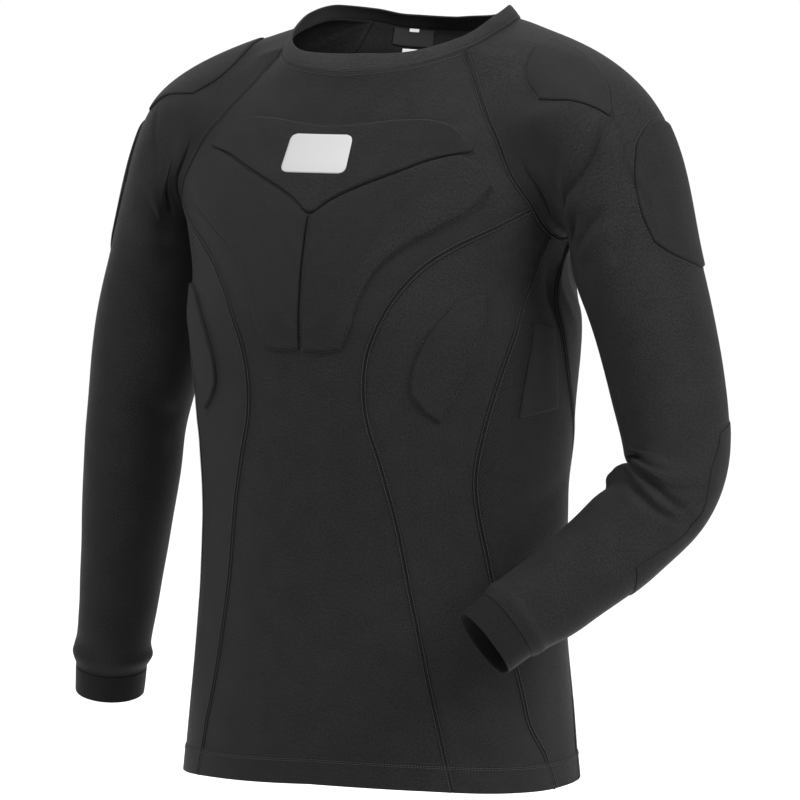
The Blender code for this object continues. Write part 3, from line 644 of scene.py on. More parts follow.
# Creases of a sleeve: angle round the arm and way down along each
SHOULDER_TO_ARM_PAD = (
    (37, 0.173), (41, 0.196), (44, 0.215), (46, 0.233), (44, 0.251), (37, 0.269), (36, 0.297),
)
BACK_CREASES = (
    Crease(((210, 0.170), (236, 0.200), (256, 0.246)), -0.0018, 0.0070),
    Crease(((222, 0.130), (250, 0.150), (276, 0.190)), 0.0014, 0.0070),
)
LEFT_CREASES = (
    Crease(((39, 0.178), (58, 0.196), (73, 0.219), (91, 0.233), (112, 0.222)), -0.0056, 0.0031),
    Crease(((46, 0.166), (66, 0.186), (82, 0.206), (98, 0.220), (114, 0.208)), 0.0024, 0.0048),
    Crease(SHOULDER_TO_ARM_PAD, -0.0018, 0.0030),
    Crease(((113, 0.283), (96, 0.278), (86, 0.274), (76, 0.269)), -0.0046, 0.0034),
    Crease(((113, 0.296), (96, 0.291), (84, 0.286), (72, 0.281)), 0.0032, 0.0040),
    Crease(((132, 0.247), (112, 0.256), (96, 0.262)), -0.0048, 0.0036),
    Crease(((126, 0.230), (108, 0.240), (92, 0.247)), 0.0030, 0.0040),
    Crease(((83, 0.315), (71, 0.306), (58, 0.292)), -0.0026, 0.0042),
    Crease(((112, 0.055), (120, 0.067), (130, 0.072), (143, 0.080)), -0.0034, 0.0030),
    Crease(((140, 0.578), (112, 0.600), (93, 0.617), (73, 0.621), (60, 0.616)), -0.0040, 0.0030),
    Crease(((130, 0.564), (102, 0.592), (80, 0.600)), 0.0020, 0.0040),
    Crease(
        ((142, 0.589), (112, 0.622), (89, 0.639), (71, 0.644), (44, 0.648), (26, 0.648), (0, 0.644)),
        -0.0052, 0.0031,
    ),
    Crease(((128, 0.600), (100, 0.624), (80, 0.631), (60, 0.632)), 0.0026, 0.0034),
    Crease(
        ((118, 0.642), (103, 0.656), (83, 0.667), (58, 0.671), (33, 0.668), (13, 0.657), (-12, 0.645)),
        -0.0040, 0.0031,
    ),
    Crease(((114, 0.634), (92, 0.650), (66, 0.658), (40, 0.659), (14, 0.651)), 0.0028, 0.0034),
    Crease(((32, 0.650), (22, 0.644), (15, 0.630), (4, 0.607)), -0.0016, 0.0026),
    Crease(((66, 0.642), (35, 0.630), (16, 0.612), (4, 0.598)), -0.0020, 0.0027),
    Crease(((100, 0.674), (72, 0.685), (40, 0.684)), 0.0022, 0.0046),
    Crease(((126, 0.652), (150, 0.660), (180, 0.650)), 0.0044, 0.0051),
    Crease(((130, 0.676), (156, 0.688), (184, 0.680)), -0.0040, 0.0048),
    Crease(((186, 0.606), (204, 0.612), (224, 0.622)), -0.0020, 0.0050),
    Crease(((196, 0.640), (214, 0.650), (232, 0.662)), 0.0014, 0.0060),
    Crease(((64, 0.720), (90, 0.736), (118, 0.742)), -0.0008, 0.0080),
    Crease(((100, 0.800), (130, 0.812), (165, 0.806)), 0.0008, 0.0090),
    Crease(((60, 0.978), (150, 0.982), (240, 0.978)), 0.0009, 0.0060),
    *BACK_CREASES,
)
RIGHT_CREASES = (
    Crease(((62, 0.165), (80, 0.206), (96, 0.232)), -0.0022, 0.0025),
    Crease(((112, 0.150), (127, 0.170), (134, 0.205)), -0.0032, 0.0032),
    Crease(((90, 0.262), (112, 0.256), (134, 0.240)), -0.0029, 0.0045),
    Crease(((84, 0.288), (110, 0.288), (138, 0.268)), 0.0022, 0.0054),
    Crease(((104, 0.060), (120, 0.068), (139, 0.090)), -0.0035, 0.0032),
    Crease(((78, 0.236), (100, 0.246), (120, 0.238)), 0.0019, 0.0045),
    Crease(((128, 0.520), (156, 0.536), (184, 0.540)), -0.0022, 0.0063),
    Crease(((110, 0.556), (140, 0.574), (176, 0.584)), 0.0019, 0.0072),
    Crease(((60, 0.600), (84, 0.612), (110, 0.610)), -0.0011, 0.0081),
    Crease(((40, 0.968), (130, 0.974), (220, 0.968)), 0.0018, 0.0070),
    Crease(((20, 0.930), (60, 0.938), (96, 0.940)), -0.0008, 0.0080),
    *BACK_CREASES,
    Crease(SHOULDER_TO_ARM_PAD, -0.0008, 0.0020),
)
SLEEVES = {
    Side.LEFT: SleeveForm(Side.LEFT, LEFT_RINGS, LEFT_CREASES, FOLDS),
    Side.RIGHT: SleeveForm(Side.RIGHT, RIGHT_RINGS, RIGHT_CREASES, FOLDS),
}


def cloth_uv(net: Net, closed: bool) -> Net:
    """Places on the cloth in metres, with one more column where the columns join round.

    Args:
        net: the cloth's points.
        closed: the columns join round.

    Returns:
        Lengths along each row from its middle, and down the net.
    """
    joined = np.concatenate([net, net[:, :1]], axis=1) if closed else net
    step = np.linalg.norm(np.diff(joined, axis=1), axis=-1)
    u = np.concatenate([np.zeros((len(net), 1)), np.cumsum(step, axis=1)], axis=1)
    u -= u[:, [net.shape[1] // 2]]
    drop = np.linalg.norm(np.diff(net, axis=0), axis=-1).mean(axis=1)
    v = np.concatenate([[0], np.cumsum(drop)])
    return np.stack([u, np.broadcast_to(v[:, None], u.shape)], -1)


class Skin:
    """Points, faces and cloth places of one mesh, put together from nets."""

    def __init__(self) -> None:
        """Starts empty."""
        self.points: list[Net] = []
        self.faces: list[Net] = []
        self.places: list[Net] = []
        self.count = 0

    def add(self, points: Net, faces: Net, places: Net) -> None:
        """Adds points with faces that number them from 0, and a cloth place for each face corner."""
        self.points.append(points)
        self.faces.append(faces + self.count)
        self.places.append(places)
        self.count += len(points)

    @staticmethod
    def cells(rows: int, columns: int, closed: bool) -> tuple[Net, Net]:
        """Row and column of the four corners of each cell of a net."""
        spans = columns if closed else columns - 1
        row, column = np.indices((rows - 1, spans)).reshape(2, -1)
        corner_rows = np.stack([row, row + 1, row + 1, row], -1)
        corner_columns = np.stack([column, column, column + 1, column + 1], -1)
        return corner_rows, corner_columns

    def shell(self, outer: Net, inner: Net, closed: bool) -> "Skin":
        """Adds a thin wall between two nets of one shape, its rims closed and its faces pointing out.

        Args:
            outer: the outer net.
            inner: the inner net.
            closed: the columns join round.

        Returns:
            This skin.
        """
        rows, columns = outer.shape[:2]
        uv = cloth_uv(outer, closed)
        count = rows * columns
        row, column = self.cells(rows, columns, closed)
        front = row * columns + column % columns
        faces = [front, front[:, ::-1] + count]
        places = [uv[row, column], uv[row, column][:, ::-1]]
        over, down = np.arange(columns if closed else columns - 1), np.arange(rows - 1)
        same_row, same_column = np.zeros_like(over), np.zeros_like(down)
        rims = [(same_row + r, same_row + r, over, over + 1, order) for r, order in ((0, 1), (rows - 1, -1))]
        if not closed:
            rims += [
                (down, down + 1, same_column + c, same_column + c, order)
                for c, order in ((0, -1), (columns - 1, 1))
            ]
        for row_a, row_b, column_a, column_b, order in rims:
            a, b = row_a * columns + column_a % columns, row_b * columns + column_b % columns
            place_a, place_b = uv[row_a, column_a], uv[row_b, column_b]
            faces.append(np.stack([a, b, b + count, a + count], -1)[:, ::order])
            places.append(np.stack([place_a, place_b, place_b, place_a], 1)[:, ::order])
        turn = np.cross(outer[1:, :-1] - outer[:-1, :-1], outer[:-1, 1:] - outer[:-1, :-1])
        away = (outer - inner)[:-1, :-1]
        order = 1 if (turn * away).sum() > 0 else -1
        points = np.concatenate([outer.reshape(-1, 3), inner.reshape(-1, 3)])
        self.add(points, np.concatenate(faces)[:, ::order], np.concatenate(places)[:, ::order])
        return self

    def stitches(self, line: Net, normal: Net, thread: "Thread") -> "Skin":
        """Adds short threads end to end along a line on the cloth: each rises from it and sinks again.

        A thread is three rings of four points, joined by faces, with one more face at each end.

        Args:
            line: points of the line.
            normal: the cloth's normals there.
            thread: its sizes.

        Returns:
            This skin.
        """
        step = np.linalg.norm(np.diff(line, axis=0), axis=-1)
        way = np.concatenate([[0], np.cumsum(step)])
        starts = np.arange(0.0, way[-1] - thread.pitch, thread.pitch)
        if len(starts) == 0:
            return self
        where = starts[:, None] + np.array(thread.ring_parts) * thread.stitch
        centre = np.stack([np.interp(where, way, column) for column in line.T], -1)
        up = unit(np.stack([np.interp(where, way, column) for column in normal.T], -1))
        run = unit(centre[:, 2:] - centre[:, :1])
        sideways = unit(np.cross(up, run))
        size = np.array(thread.ring_sizes)[:, None, None] * thread.width / 2
        turns = np.radians([0, 90, 180, 270])[:, None]
        ring = np.cos(turns) * sideways[:, :, None] + thread.flatness * np.sin(turns) * up[:, :, None]
        lift = (np.array(thread.ring_lifts) * thread.width)[:, None, None] * up[:, :, None]
        points = centre[:, :, None] + ring * size + lift
        side = np.array([[0, 4, 5, 1], [1, 5, 6, 2], [2, 6, 7, 3], [3, 7, 4, 0]])
        shape = np.concatenate([[[0, 1, 2, 3]], side, side + 4, [[11, 10, 9, 8]]])
        faces = (np.arange(len(starts))[:, None, None] * 12 + shape).reshape(-1, 4)
        corners = np.array([(0, 0), (1, 0), (1, 1), (0, 1)]) * 0.001
        self.add(points.reshape(-1, 3), faces, np.broadcast_to(corners, (len(faces), 4, 2)))
        return self

    def piece(self, name: str, slot: Slot, material: bpy.types.Material) -> bpy.types.Object:
        """Makes the mesh object, smooth, with its UV map in metres; it rides on the shirt's body.

        Args:
            name: the piece's name.
            slot: the record's material slot; not used.
            material: its finish.

        Returns:
            The object.
        """
        faces = np.concatenate(self.faces)
        mesh = bpy.data.meshes.new(name)
        mesh.vertices.add(self.count)
        mesh.vertices.foreach_set("co", np.concatenate(self.points).astype(np.float32).ravel())
        mesh.loops.add(faces.size)
        mesh.loops.foreach_set("vertex_index", faces.astype(np.int32).ravel())
        mesh.polygons.add(len(faces))
        mesh.polygons.foreach_set("loop_start", np.arange(0, faces.size, 4, dtype=np.int32))
        mesh.polygons.foreach_set("use_smooth", np.ones(len(faces), bool))
        layer = mesh.uv_layers.new(name="UVMap")
        layer.data.foreach_set("uv", np.concatenate(self.places).astype(np.float32).ravel())
        mesh.update(calc_edges=True)
        mesh.materials.append(material)
        piece = bpy.data.objects.new(name, mesh)
        bpy.context.scene.collection.objects.link(piece)
        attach(piece, BODY)
        LOG.info("%s: %d faces", name, len(faces))
        return piece


@dataclass(frozen=True)
class Thread:
    """Sizes of a row of stitches."""

    pitch: float = 0.0027
    stitch: float = 0.0022
    width: float = 0.00055
    flatness: float = 0.8
    ring_parts: tuple = (0.06, 0.5, 0.94)
    ring_sizes: tuple = (0.45, 1.0, 0.45)
    ring_lifts: tuple = (0.1, 0.7, 0.1)


@dataclass(frozen=True)
class Look:
    """Named values of a finish: its colour and mottle, its gloss and its bump."""

    name: str
    colour: tuple[float, float, float]
    contrast: float = 0.06
    shade_span: tuple[float, float] = (0.0, 1.0)
    mottle_size: float = 900.0
    roughness: float = 0.45
    specular: float = 0.5
    bump: float = 0.15
    bump_depth: float = 0.0001


@dataclass(frozen=True)
class ClothLook(Look):
    """Named values of a knit's finish, with its loops, its nap and its eyelets."""

    contrast: float = 0.48
    shade_span: tuple[float, float] = (0.36, 0.64)
    mottle_size: float = 620.0
    roughness: float = 0.56
    specular: float = 0.05
    bump: float = 0.80
    bump_depth: float = 0.00045
    pitch: float = 0.0011
    loop_share: float = 0.6
    yarn_share: float = 0.9
    roughness_span: float = 0.16
    sheen: float = 0.018
    sheen_roughness: float = 0.45
    sheen_tint: tuple[float, float, float] = (0.8, 0.83, 0.88)
    eyelets: float = 0.0
    eyelet_depth: float = 3.0
    hole_colour: tuple[float, float, float] = (0.006, 0.006, 0.0065)


class Draft(NamedTuple):
    """A finish that is begun: its material, and what the rest of it reads."""

    material: bpy.types.Material
    shader: bpy.types.Node
    place: bpy.types.NodeSocket
    mottle: bpy.types.Node
    colour: bpy.types.NodeSocket


class Finishes:
    """Makes the shirt's materials, from node groups that they share."""

    courses_a_wale: ClassVar[float] = 1.25
    fine_share: ClassVar[float] = 0.85
    broad_size: ClassVar[float] = 0.06
    hole_span: ClassVar[tuple[float, float]] = (0.42, 0.72)

    def __init__(self) -> None:
        """Builds the shared groups."""
        self.knit_group = self._knit_group()
        self.mottle_group = self._mottle_group()
        self.eyelet_group = self._eyelet_group()

    @staticmethod
    def _group(
        name: str, value: tuple[str, float], outputs: Sequence[str]
    ) -> tuple[bpy.types.NodeTree, bpy.types.Node, bpy.types.Node]:
        """A node group that reads a Place and one named value, with its input and output nodes.

        Args:
            name: the group's name.
            value: the name and the default of its value.
            outputs: the names of its outputs.

        Returns:
            The group, its input node and its output node.
        """
        tree = bpy.data.node_groups.new(name, "ShaderNodeTree")
        tree.interface.new_socket("Place", in_out="INPUT", socket_type="NodeSocketVector")
        socket = tree.interface.new_socket(value[0], in_out="INPUT", socket_type="NodeSocketFloat")
        socket.default_value = value[1]
        for title in outputs:
            tree.interface.new_socket(title, in_out="OUTPUT", socket_type="NodeSocketFloat")
        return tree, tree.nodes.new("NodeGroupInput"), tree.nodes.new("NodeGroupOutput")

    @staticmethod
    def _math(tree: bpy.types.NodeTree, operation: str, *values: object) -> bpy.types.NodeSocket:
        """A math node fed with numbers or sockets; returns its output."""
        node = tree.nodes.new("ShaderNodeMath")
        node.operation = operation
        for socket, value in zip(node.inputs, values):
            if isinstance(value, bpy.types.NodeSocket):
                tree.links.new(value, socket)
            else:
                socket.default_value = value
        return node.outputs[0]

    def _wave(
        self, tree: bpy.types.NodeTree, shape: str, angle: bpy.types.NodeSocket
    ) -> bpy.types.NodeSocket:
        """The size of an angle's SINE or COSINE, without its sign."""
        return self._math(tree, "ABSOLUTE", self._math(tree, shape, angle))

    def _turns(
        self, tree: bpy.types.NodeTree, length: bpy.types.NodeSocket, pitch: bpy.types.NodeSocket, turn: float
    ) -> bpy.types.NodeSocket:
        """The angle that a length makes when each pitch of it adds a turn."""
        return self._math(tree, "MULTIPLY", self._math(tree, "DIVIDE", length, pitch), turn)

    @staticmethod
    def _split(
        tree: bpy.types.NodeTree, source: bpy.types.Node
    ) -> tuple[bpy.types.NodeSocket, bpy.types.NodeSocket]:
        """The two coordinates of a group's Place."""
        split = tree.nodes.new("ShaderNodeSeparateXYZ")
        tree.links.new(source.outputs["Place"], split.inputs[0])
        return split.outputs[0], split.outputs[1]

    def _knit_group(self) -> bpy.types.NodeTree:
        """Fine knit: columns of loops a pitch apart, each leaning to both sides in turn."""
        tree, source, result = self._group("knit_loops", ("Pitch", 0.0011), ("Height",))
        u, v = self._split(tree, source)
        pitch = source.outputs["Pitch"]
        wale = self._turns(tree, u, pitch, 2 * math.pi)
        course = self._turns(tree, v, pitch, 2 * math.pi * self.courses_a_wale)
        loops = self._wave(tree, "SINE", self._math(tree, "ADD", course, self._wave(tree, "SINE", wale)))
        column = self._wave(tree, "COSINE", self._math(tree, "MULTIPLY", wale, 0.5))
        height = self._math(tree, "MULTIPLY_ADD", loops, 0.5, self._math(tree, "MULTIPLY", column, 0.5))
        tree.links.new(height, result.inputs["Height"])
        return tree

    def _mottle_group(self) -> bpy.types.NodeTree:
        """Uneven yarn: noise at two sizes, as a shade about 0.5 and as a height."""
        tree, source, result = self._group("yarn_mottle", ("Size", 600.0), ("Shade", "Height"))
        fine, broad = tree.nodes.new("ShaderNodeTexNoise"), tree.nodes.new("ShaderNodeTexNoise")
        for node, detail in ((fine, 3.0), (broad, 2.0)):
            node.inputs["Detail"].default_value = detail
            tree.links.new(source.outputs["Place"], node.inputs["Vector"])
        tree.links.new(source.outputs["Size"], fine.inputs["Scale"])
        broad_scale = self._math(tree, "MULTIPLY", source.outputs["Size"], self.broad_size)
        tree.links.new(broad_scale, broad.inputs["Scale"])
        rest = self._math(tree, "MULTIPLY", broad.outputs[0], 1 - self.fine_share)
        shade = self._math(tree, "MULTIPLY_ADD", fine.outputs[0], self.fine_share, rest)
        tree.links.new(shade, result.inputs["Shade"])
        tree.links.new(fine.outputs[0], result.inputs["Height"])
        return tree

    def _eyelet_group(self) -> bpy.types.NodeTree:
        """Eyelet mesh: round holes on a slanted grid, as 1 in a hole and 0 on the cloth."""
        tree, source, result = self._group("eyelet_mesh", ("Pitch", 0.0042), ("Hole",))
        u, v = self._split(tree, source)
        waves = [
            self._wave(tree, "SINE", self._turns(tree, slant, source.outputs["Pitch"], math.pi))
            for slant in (self._math(tree, "ADD", u, v), self._math(tree, "SUBTRACT", u, v))
        ]
        hole = tree.nodes.new("ShaderNodeMapRange")
        hole.interpolation_type = "SMOOTHSTEP"
        hole.inputs["From Min"].default_value, hole.inputs["From Max"].default_value = self.hole_span
        tree.links.new(self._math(tree, "MULTIPLY", *waves), hole.inputs["Value"])
        tree.links.new(hole.outputs["Result"], result.inputs["Hole"])
        return tree

    @staticmethod
    def _placed(
        group: bpy.types.NodeTree, place: bpy.types.NodeSocket, title: str, value: float
    ) -> bpy.types.Node:
        """A shared group in the place's own material, with the value that this material gives it."""
        tree = place.id_data
        node = tree.nodes.new("ShaderNodeGroup")
        node.node_tree = group
        node.inputs[title].default_value = value
        tree.links.new(place, node.inputs["Place"])
        return node

    def _begun(self, look: Look) -> Draft:
        """Begins a finish: its gloss, the cloth's places, and its colour, which the mottle varies."""
        material = bpy.data.materials.new(look.name)
        material.use_nodes = True
        tree = material.node_tree
        shader = tree.nodes["Principled BSDF"]
        shader.inputs["Roughness"].default_value = look.roughness
        shader.inputs["Specular IOR Level"].default_value = look.specular
        place = tree.nodes.new("ShaderNodeTexCoord").outputs["UV"]
        mottle = self._placed(self.mottle_group, place, "Size", look.mottle_size)
        ramp = tree.nodes.new("ShaderNodeMapRange")
        ramp.data_type = "FLOAT_VECTOR"
        for socket, value in (
            (RampSocket.FROM_MIN, (look.shade_span[0],) * 3),
            (RampSocket.FROM_MAX, (look.shade_span[1],) * 3),
            (RampSocket.TO_MIN, tuple(c * (1 - look.contrast) for c in look.colour)),
            (RampSocket.TO_MAX, tuple(c * (1 + look.contrast) for c in look.colour)),
        ):
            ramp.inputs[socket].default_value = value
        tree.links.new(mottle.outputs["Shade"], ramp.inputs[RampSocket.VALUE])
        return Draft(material, shader, place, mottle, ramp.outputs[RAMP_RESULT])

    @staticmethod
    def _ended(
        draft: Draft, look: Look, colour: bpy.types.NodeSocket, height: bpy.types.NodeSocket
    ) -> bpy.types.Material:
        """Ends a finish with its colour and the bump of its height.

        Args:
            draft: the finish as it was begun.
            look: its named values.
            colour: what gives its colour.
            height: what raises its surface.

        Returns:
            The material.
        """
        tree = draft.material.node_tree
        bump = tree.nodes.new("ShaderNodeBump")
        bump.inputs["Strength"].default_value = look.bump
        bump.inputs["Distance"].default_value = look.bump_depth
        tree.links.new(height, bump.inputs["Height"])
        tree.links.new(bump.outputs["Normal"], draft.shader.inputs["Normal"])
        tree.links.new(colour, draft.shader.inputs["Base Color"])
        return draft.material

    def cloth(self, look: ClothLook) -> bpy.types.Material:
        """A knit's material: mottled colour and roughness, loops in the bump, a nap by sheen.

        Args:
            look: the cloth's named values.

        Returns:
            The material.
        """
        draft = self._begun(look)
        tree, shader, mottle, colour = draft.material.node_tree, draft.shader, draft.mottle, draft.colour
        knit = self._placed(self.knit_group, draft.place, "Pitch", look.pitch)
        yarn = self._math(tree, "MULTIPLY", mottle.outputs["Height"], look.yarn_share)
        height = self._math(tree, "MULTIPLY_ADD", knit.outputs["Height"], look.loop_share, yarn)
        if look.eyelets:
            eyelet = self._placed(self.eyelet_group, draft.place, "Pitch", look.eyelets)
            mix = tree.nodes.new("ShaderNodeMix")
            mix.data_type = "RGBA"
            tree.links.new(eyelet.outputs["Hole"], mix.inputs["Factor"])
            tree.links.new(colour, mix.inputs[MixSocket.FIRST])
            mix.inputs[MixSocket.SECOND].default_value = (*look.hole_colour, 1.0)
            colour = mix.outputs[MIX_RESULT]
            height = self._math(tree, "MULTIPLY_ADD", eyelet.outputs["Hole"], -look.eyelet_depth, height)
        span = look.roughness_span
        rough = self._math(tree, "MULTIPLY_ADD", mottle.outputs["Shade"], span, look.roughness - span / 2)
        tree.links.new(rough, shader.inputs["Roughness"])
        shader.inputs["Sheen Weight"].default_value = look.sheen
        shader.inputs["Sheen Roughness"].default_value = look.sheen_roughness
        shader.inputs["Sheen Tint"].default_value = (*look.sheen_tint, 1.0)
        return self._ended(draft, look, colour, height)

    def plain(self, look: Look) -> bpy.types.Material:
        """A smooth film, tape or thread: one colour, slightly mottled, with its own roughness."""
        draft = self._begun(look)
        return self._ended(draft, look, draft.colour, draft.mottle.outputs["Height"])


def parts_between(count: int, rim: float, fine: int = 7) -> Net:
    """Positions 0..1, close together within rim of both ends and even between."""
    end = rim * (1 - np.cos(np.linspace(0, math.pi / 2, fine)))
    return np.concatenate([end, np.linspace(rim, 1 - rim, count)[1:-1], 1 - end[::-1]])


def edge_distance(net: Net) -> tuple[Net, Net, Net, Net]:
    """Distances over a net from its first row, last row, first column and last column."""
    down = np.linalg.norm(np.diff(net, axis=0), axis=-1)
    over = np.linalg.norm(np.diff(net, axis=1), axis=-1)
    top = np.concatenate([np.zeros((1, net.shape[1])), np.cumsum(down, axis=0)])
    left = np.concatenate([np.zeros((net.shape[0], 1)), np.cumsum(over, axis=1)], axis=1)
    return top, top[-1:] - top, left, left[:, -1:] - left


@dataclass(frozen=True)
class Cut:
    """A panel's flat cut in metres and square metres."""

    width: float
    length: float
    area: float

    def declare(self, piece: bpy.types.Object) -> None:
        """Takes a piece of this cut and does nothing with it."""


@dataclass
class TrunkPanels:
    """Front, side fronts, mesh side panels and back, with the turned-up hem."""

    cloth: float = 0.0011
    gap: float = 0.0003
    hem_turn: float = 0.025
    hem_step: float = 0.0007
    edge: float = 0.0009
    rim: float = 0.02
    stitch_below: float = 0.0022
    stitch_reach: float = 0.0012
    groove: float = 0.0004
    front_columns: int = 128
    back_columns: int = 80
    side_columns: int = 38
    raglan_rows: int = 44
    drop_rows: int = 120
    cuts: dict = field(default_factory=lambda: {
        "front_centre": Cut(0.45, 0.65, 0.1525),
        "back": Cut(0.49, 0.70, 0.2657),
        "side_front": Cut(0.20, 0.53, 0.050),
        "side_panel": Cut(0.17, 0.51, 0.0555),
    })

    def drop_parts(self, count: int) -> Net:
        """Parts of the way from the raglan seam to the hem, close together at the hem's step and edge."""
        return np.concatenate([
            np.linspace(0, 0.93, count)[:-1],
            np.linspace(0.93, 0.972, 24)[:-1],
            np.linspace(0.972, 0.9975, 8),
            [0.9985, 0.9992, 1.0],
        ])

    def wall(
        self, name: str, places: Net, slot: Slot, material: bpy.types.Material, cut: Cut
    ) -> bpy.types.Object:
        """One panel as a thin wall on its net of places, narrowed by half the gap at its seams.

        Args:
            name: the frame's node that it replaces.
            places: its net of angles and heights.
            slot: the material slot.
            material: its finish.
            cut: its flat cut.

        Returns:
            The panel.
        """
        grid, normal = TRUNK.surface(places)
        above = places[..., 1] - TRUNK.hem(places[..., 0])[..., 1]
        step = self.hem_step * ease(self.hem_turn + self.edge, self.hem_turn - self.edge, above)
        line = bell(above - self.hem_turn + self.stitch_below, self.stitch_reach)
        half = (self.cloth + step) / 2 * rounded(above, self.edge, self.rim)
        middle = grid + normal * ((step - self.cloth) / 2 - self.groove * line)[..., None]
        reach = normal * half[..., None]
        move = np.zeros_like(grid)
        for edge, inside in ((0, 1), (-1, -2)):
            move[:, edge] = unit(grid[:, inside] - grid[:, edge]) * self.gap / 2
        skin = Skin().shell(middle + reach + move, middle - reach + move, False)
        piece = skin.piece(name + "_cloth", slot, material)
        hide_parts(name)
        cut.declare(piece)
        return piece

    def build(self, knit: bpy.types.Material, mesh: bpy.types.Material) -> None:
        """Builds all six panels."""
        raglan = np.linspace(0, 1, self.raglan_rows)[:-1]
        rows = self.drop_parts(self.drop_rows)

        def edge(head: Sequence, seam: Sequence, side: Side) -> Net:
            """A long edge: the raglan seam, then the seam under it."""
            upper = TRUNK.seam_at(head, raglan) * (side.value, 1)
            return np.vstack([upper, TRUNK.long_seam(seam, side, rows)])

        across_it = np.linspace(-1, 1, self.front_columns)
        top = TRUNK.neck(across_it * TRUNK.raglan_front[0][0])
        bottom = TRUNK.hem(across_it * TRUNK.princess[-1][0])
        left, right = [edge(TRUNK.raglan_front, TRUNK.princess, side) for side in Side]
        self.wall("front_centre", patch(top, bottom, right, left), Slot.KNIT, knit, self.cuts["front_centre"])
        across_it = np.linspace(0, 1, self.back_columns)
        start, end = TRUNK.raglan_back[-1][0], TRUNK.side_back[-1][0]
        top = TRUNK.neck(start + across_it * (360 - 2 * start))
        bottom = TRUNK.hem(end + across_it * (360 - 2 * end))
        left, right = [edge(TRUNK.raglan_back[::-1], TRUNK.side_back, side) for side in Side]
        places = patch(top, bottom, left, right + (360, 0))
        self.wall("back", places, Slot.KNIT, knit, self.cuts["back"])
        for side in Side:
            for name, head, first, second, slot, material in (
                ("side_front", TRUNK.strip_top, TRUNK.princess, TRUNK.side_front, Slot.KNIT, knit),
                ("side_panel", TRUNK.side_top, TRUNK.side_front, TRUNK.side_back, Slot.MESH, mesh),
            ):
                top = along(head, np.linspace(0, 1, self.side_columns)) * (side.value, 1)
                angles = np.linspace(first[-1][0], second[-1][0], self.side_columns)
                places = patch(
                    top, TRUNK.hem(side.value * angles),
                    TRUNK.long_seam(first, side, rows), TRUNK.long_seam(second, side, rows),
                )
                self.wall(f"{name}_{side.word}", places, slot, material, self.cuts[name])


@dataclass
class Sleeves:
    """Both raglan sleeves and the cuffs on them."""

    cloth: float = 0.0011
    cuff_step: float = 0.0005
    cuff_ways: tuple = (1.0004, 1.0498)
    cuff_edge: float = 0.0008
    cuff_rim: float = 0.15
    stitch_down: float = 0.0235
    stitch_reach: float = 0.0010
    stitch_depth: float = 0.0003
    cut: Cut = Cut(0.42, 0.66, 0.19)
    cuff_cut: Cut = Cut(0.23, 0.027, 0.006)
    seen_columns: tuple = (18, 62, 18, 24, 38)
    plain_columns: tuple = (18, 38, 12, 20, 38)

    def loop_columns(self, side: Side) -> Net:
        """Positions round the head, an even number in each stretch, and more where creases are seen."""
        columns = self.seen_columns if side is Side.LEFT else self.plain_columns
        return np.concatenate([k + np.arange(count) / count for k, count in enumerate(columns)])

    def ways(self) -> Net:
        """Ways down, close together where the folds are."""
        stretches = (
            (0.0006, 0.03, 9), (0.03, 0.33, 84), (0.33, 0.55, 24), (0.55, 0.75, 62), (0.75, 0.94, 22),
        )
        parts = [np.linspace(start, stop, count)[:-1] for start, stop, count in stretches]
        return np.concatenate([*parts, np.linspace(0.94, 0.9994, 17)])

    def sleeve(self, side: Side, w: Net, knit: bpy.types.Material) -> None:
        """Builds one sleeve, a thin wall from its head to the cuff."""
        node = f"sleeve_{side.word}"
        grid, normal = SLEEVES[side].surface(w, self.ways())
        piece = Skin().shell(grid, grid - normal * self.cloth, True).piece(node + "_cloth", Slot.KNIT, knit)
        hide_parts(node)
        self.cut.declare(piece)

    def cuff(self, side: Side, w: Net, knit: bpy.types.Material) -> None:
        """Builds one cuff: a thicker wall, its ends rounded off, with a dent where its layers are sewn."""
        node, form = f"cuff_{side.word}", SLEEVES[side]
        start, stop = self.cuff_ways
        way = start + (stop - start) * parts_between(16, 0.03)
        grid, normal = form.surface(w, way)
        drop = (way - way[0]) * form.length
        ends = np.minimum(drop, drop[-1] - drop)
        half = (self.cloth + self.cuff_step) / 2 * rounded(ends, self.cuff_edge, self.cuff_rim)
        dent = self.stitch_depth * bell(drop - self.stitch_down, self.stitch_reach)
        middle = grid + normal * ((self.cuff_step - self.cloth) / 2 - dent)[:, None, None]
        reach = normal * half[:, None, None]
        # The cuff's knit is darker than the sleeve's: painted shade of the cuff.
        piece = Skin().shell(middle + reach, middle - reach, True).piece(node + "_band", Slot.KNIT, knit)
        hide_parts(node)
        self.cuff_cut.declare(piece)

    def build(self, knit: bpy.types.Material, cuff: bpy.types.Material) -> None:
        """Builds both sleeves and cuffs; the cuffs take the darker cuff knit, which is painted shade."""
        for side in Side:
            w = self.loop_columns(side)
            self.sleeve(side, w, knit)
            self.cuff(side, w, cuff)


class Patch(NamedTuple):
    """A small piece inside the back of the neck.

    Its angles are its two sides, its drops are how far its ends lie under the neck seam, and its lift
    is how far it lies clear of the back.
    """

    name: str
    node: str
    angles: tuple[float, float]
    drops: tuple[float, float]
    slot: Slot
    lift: float = 0.0


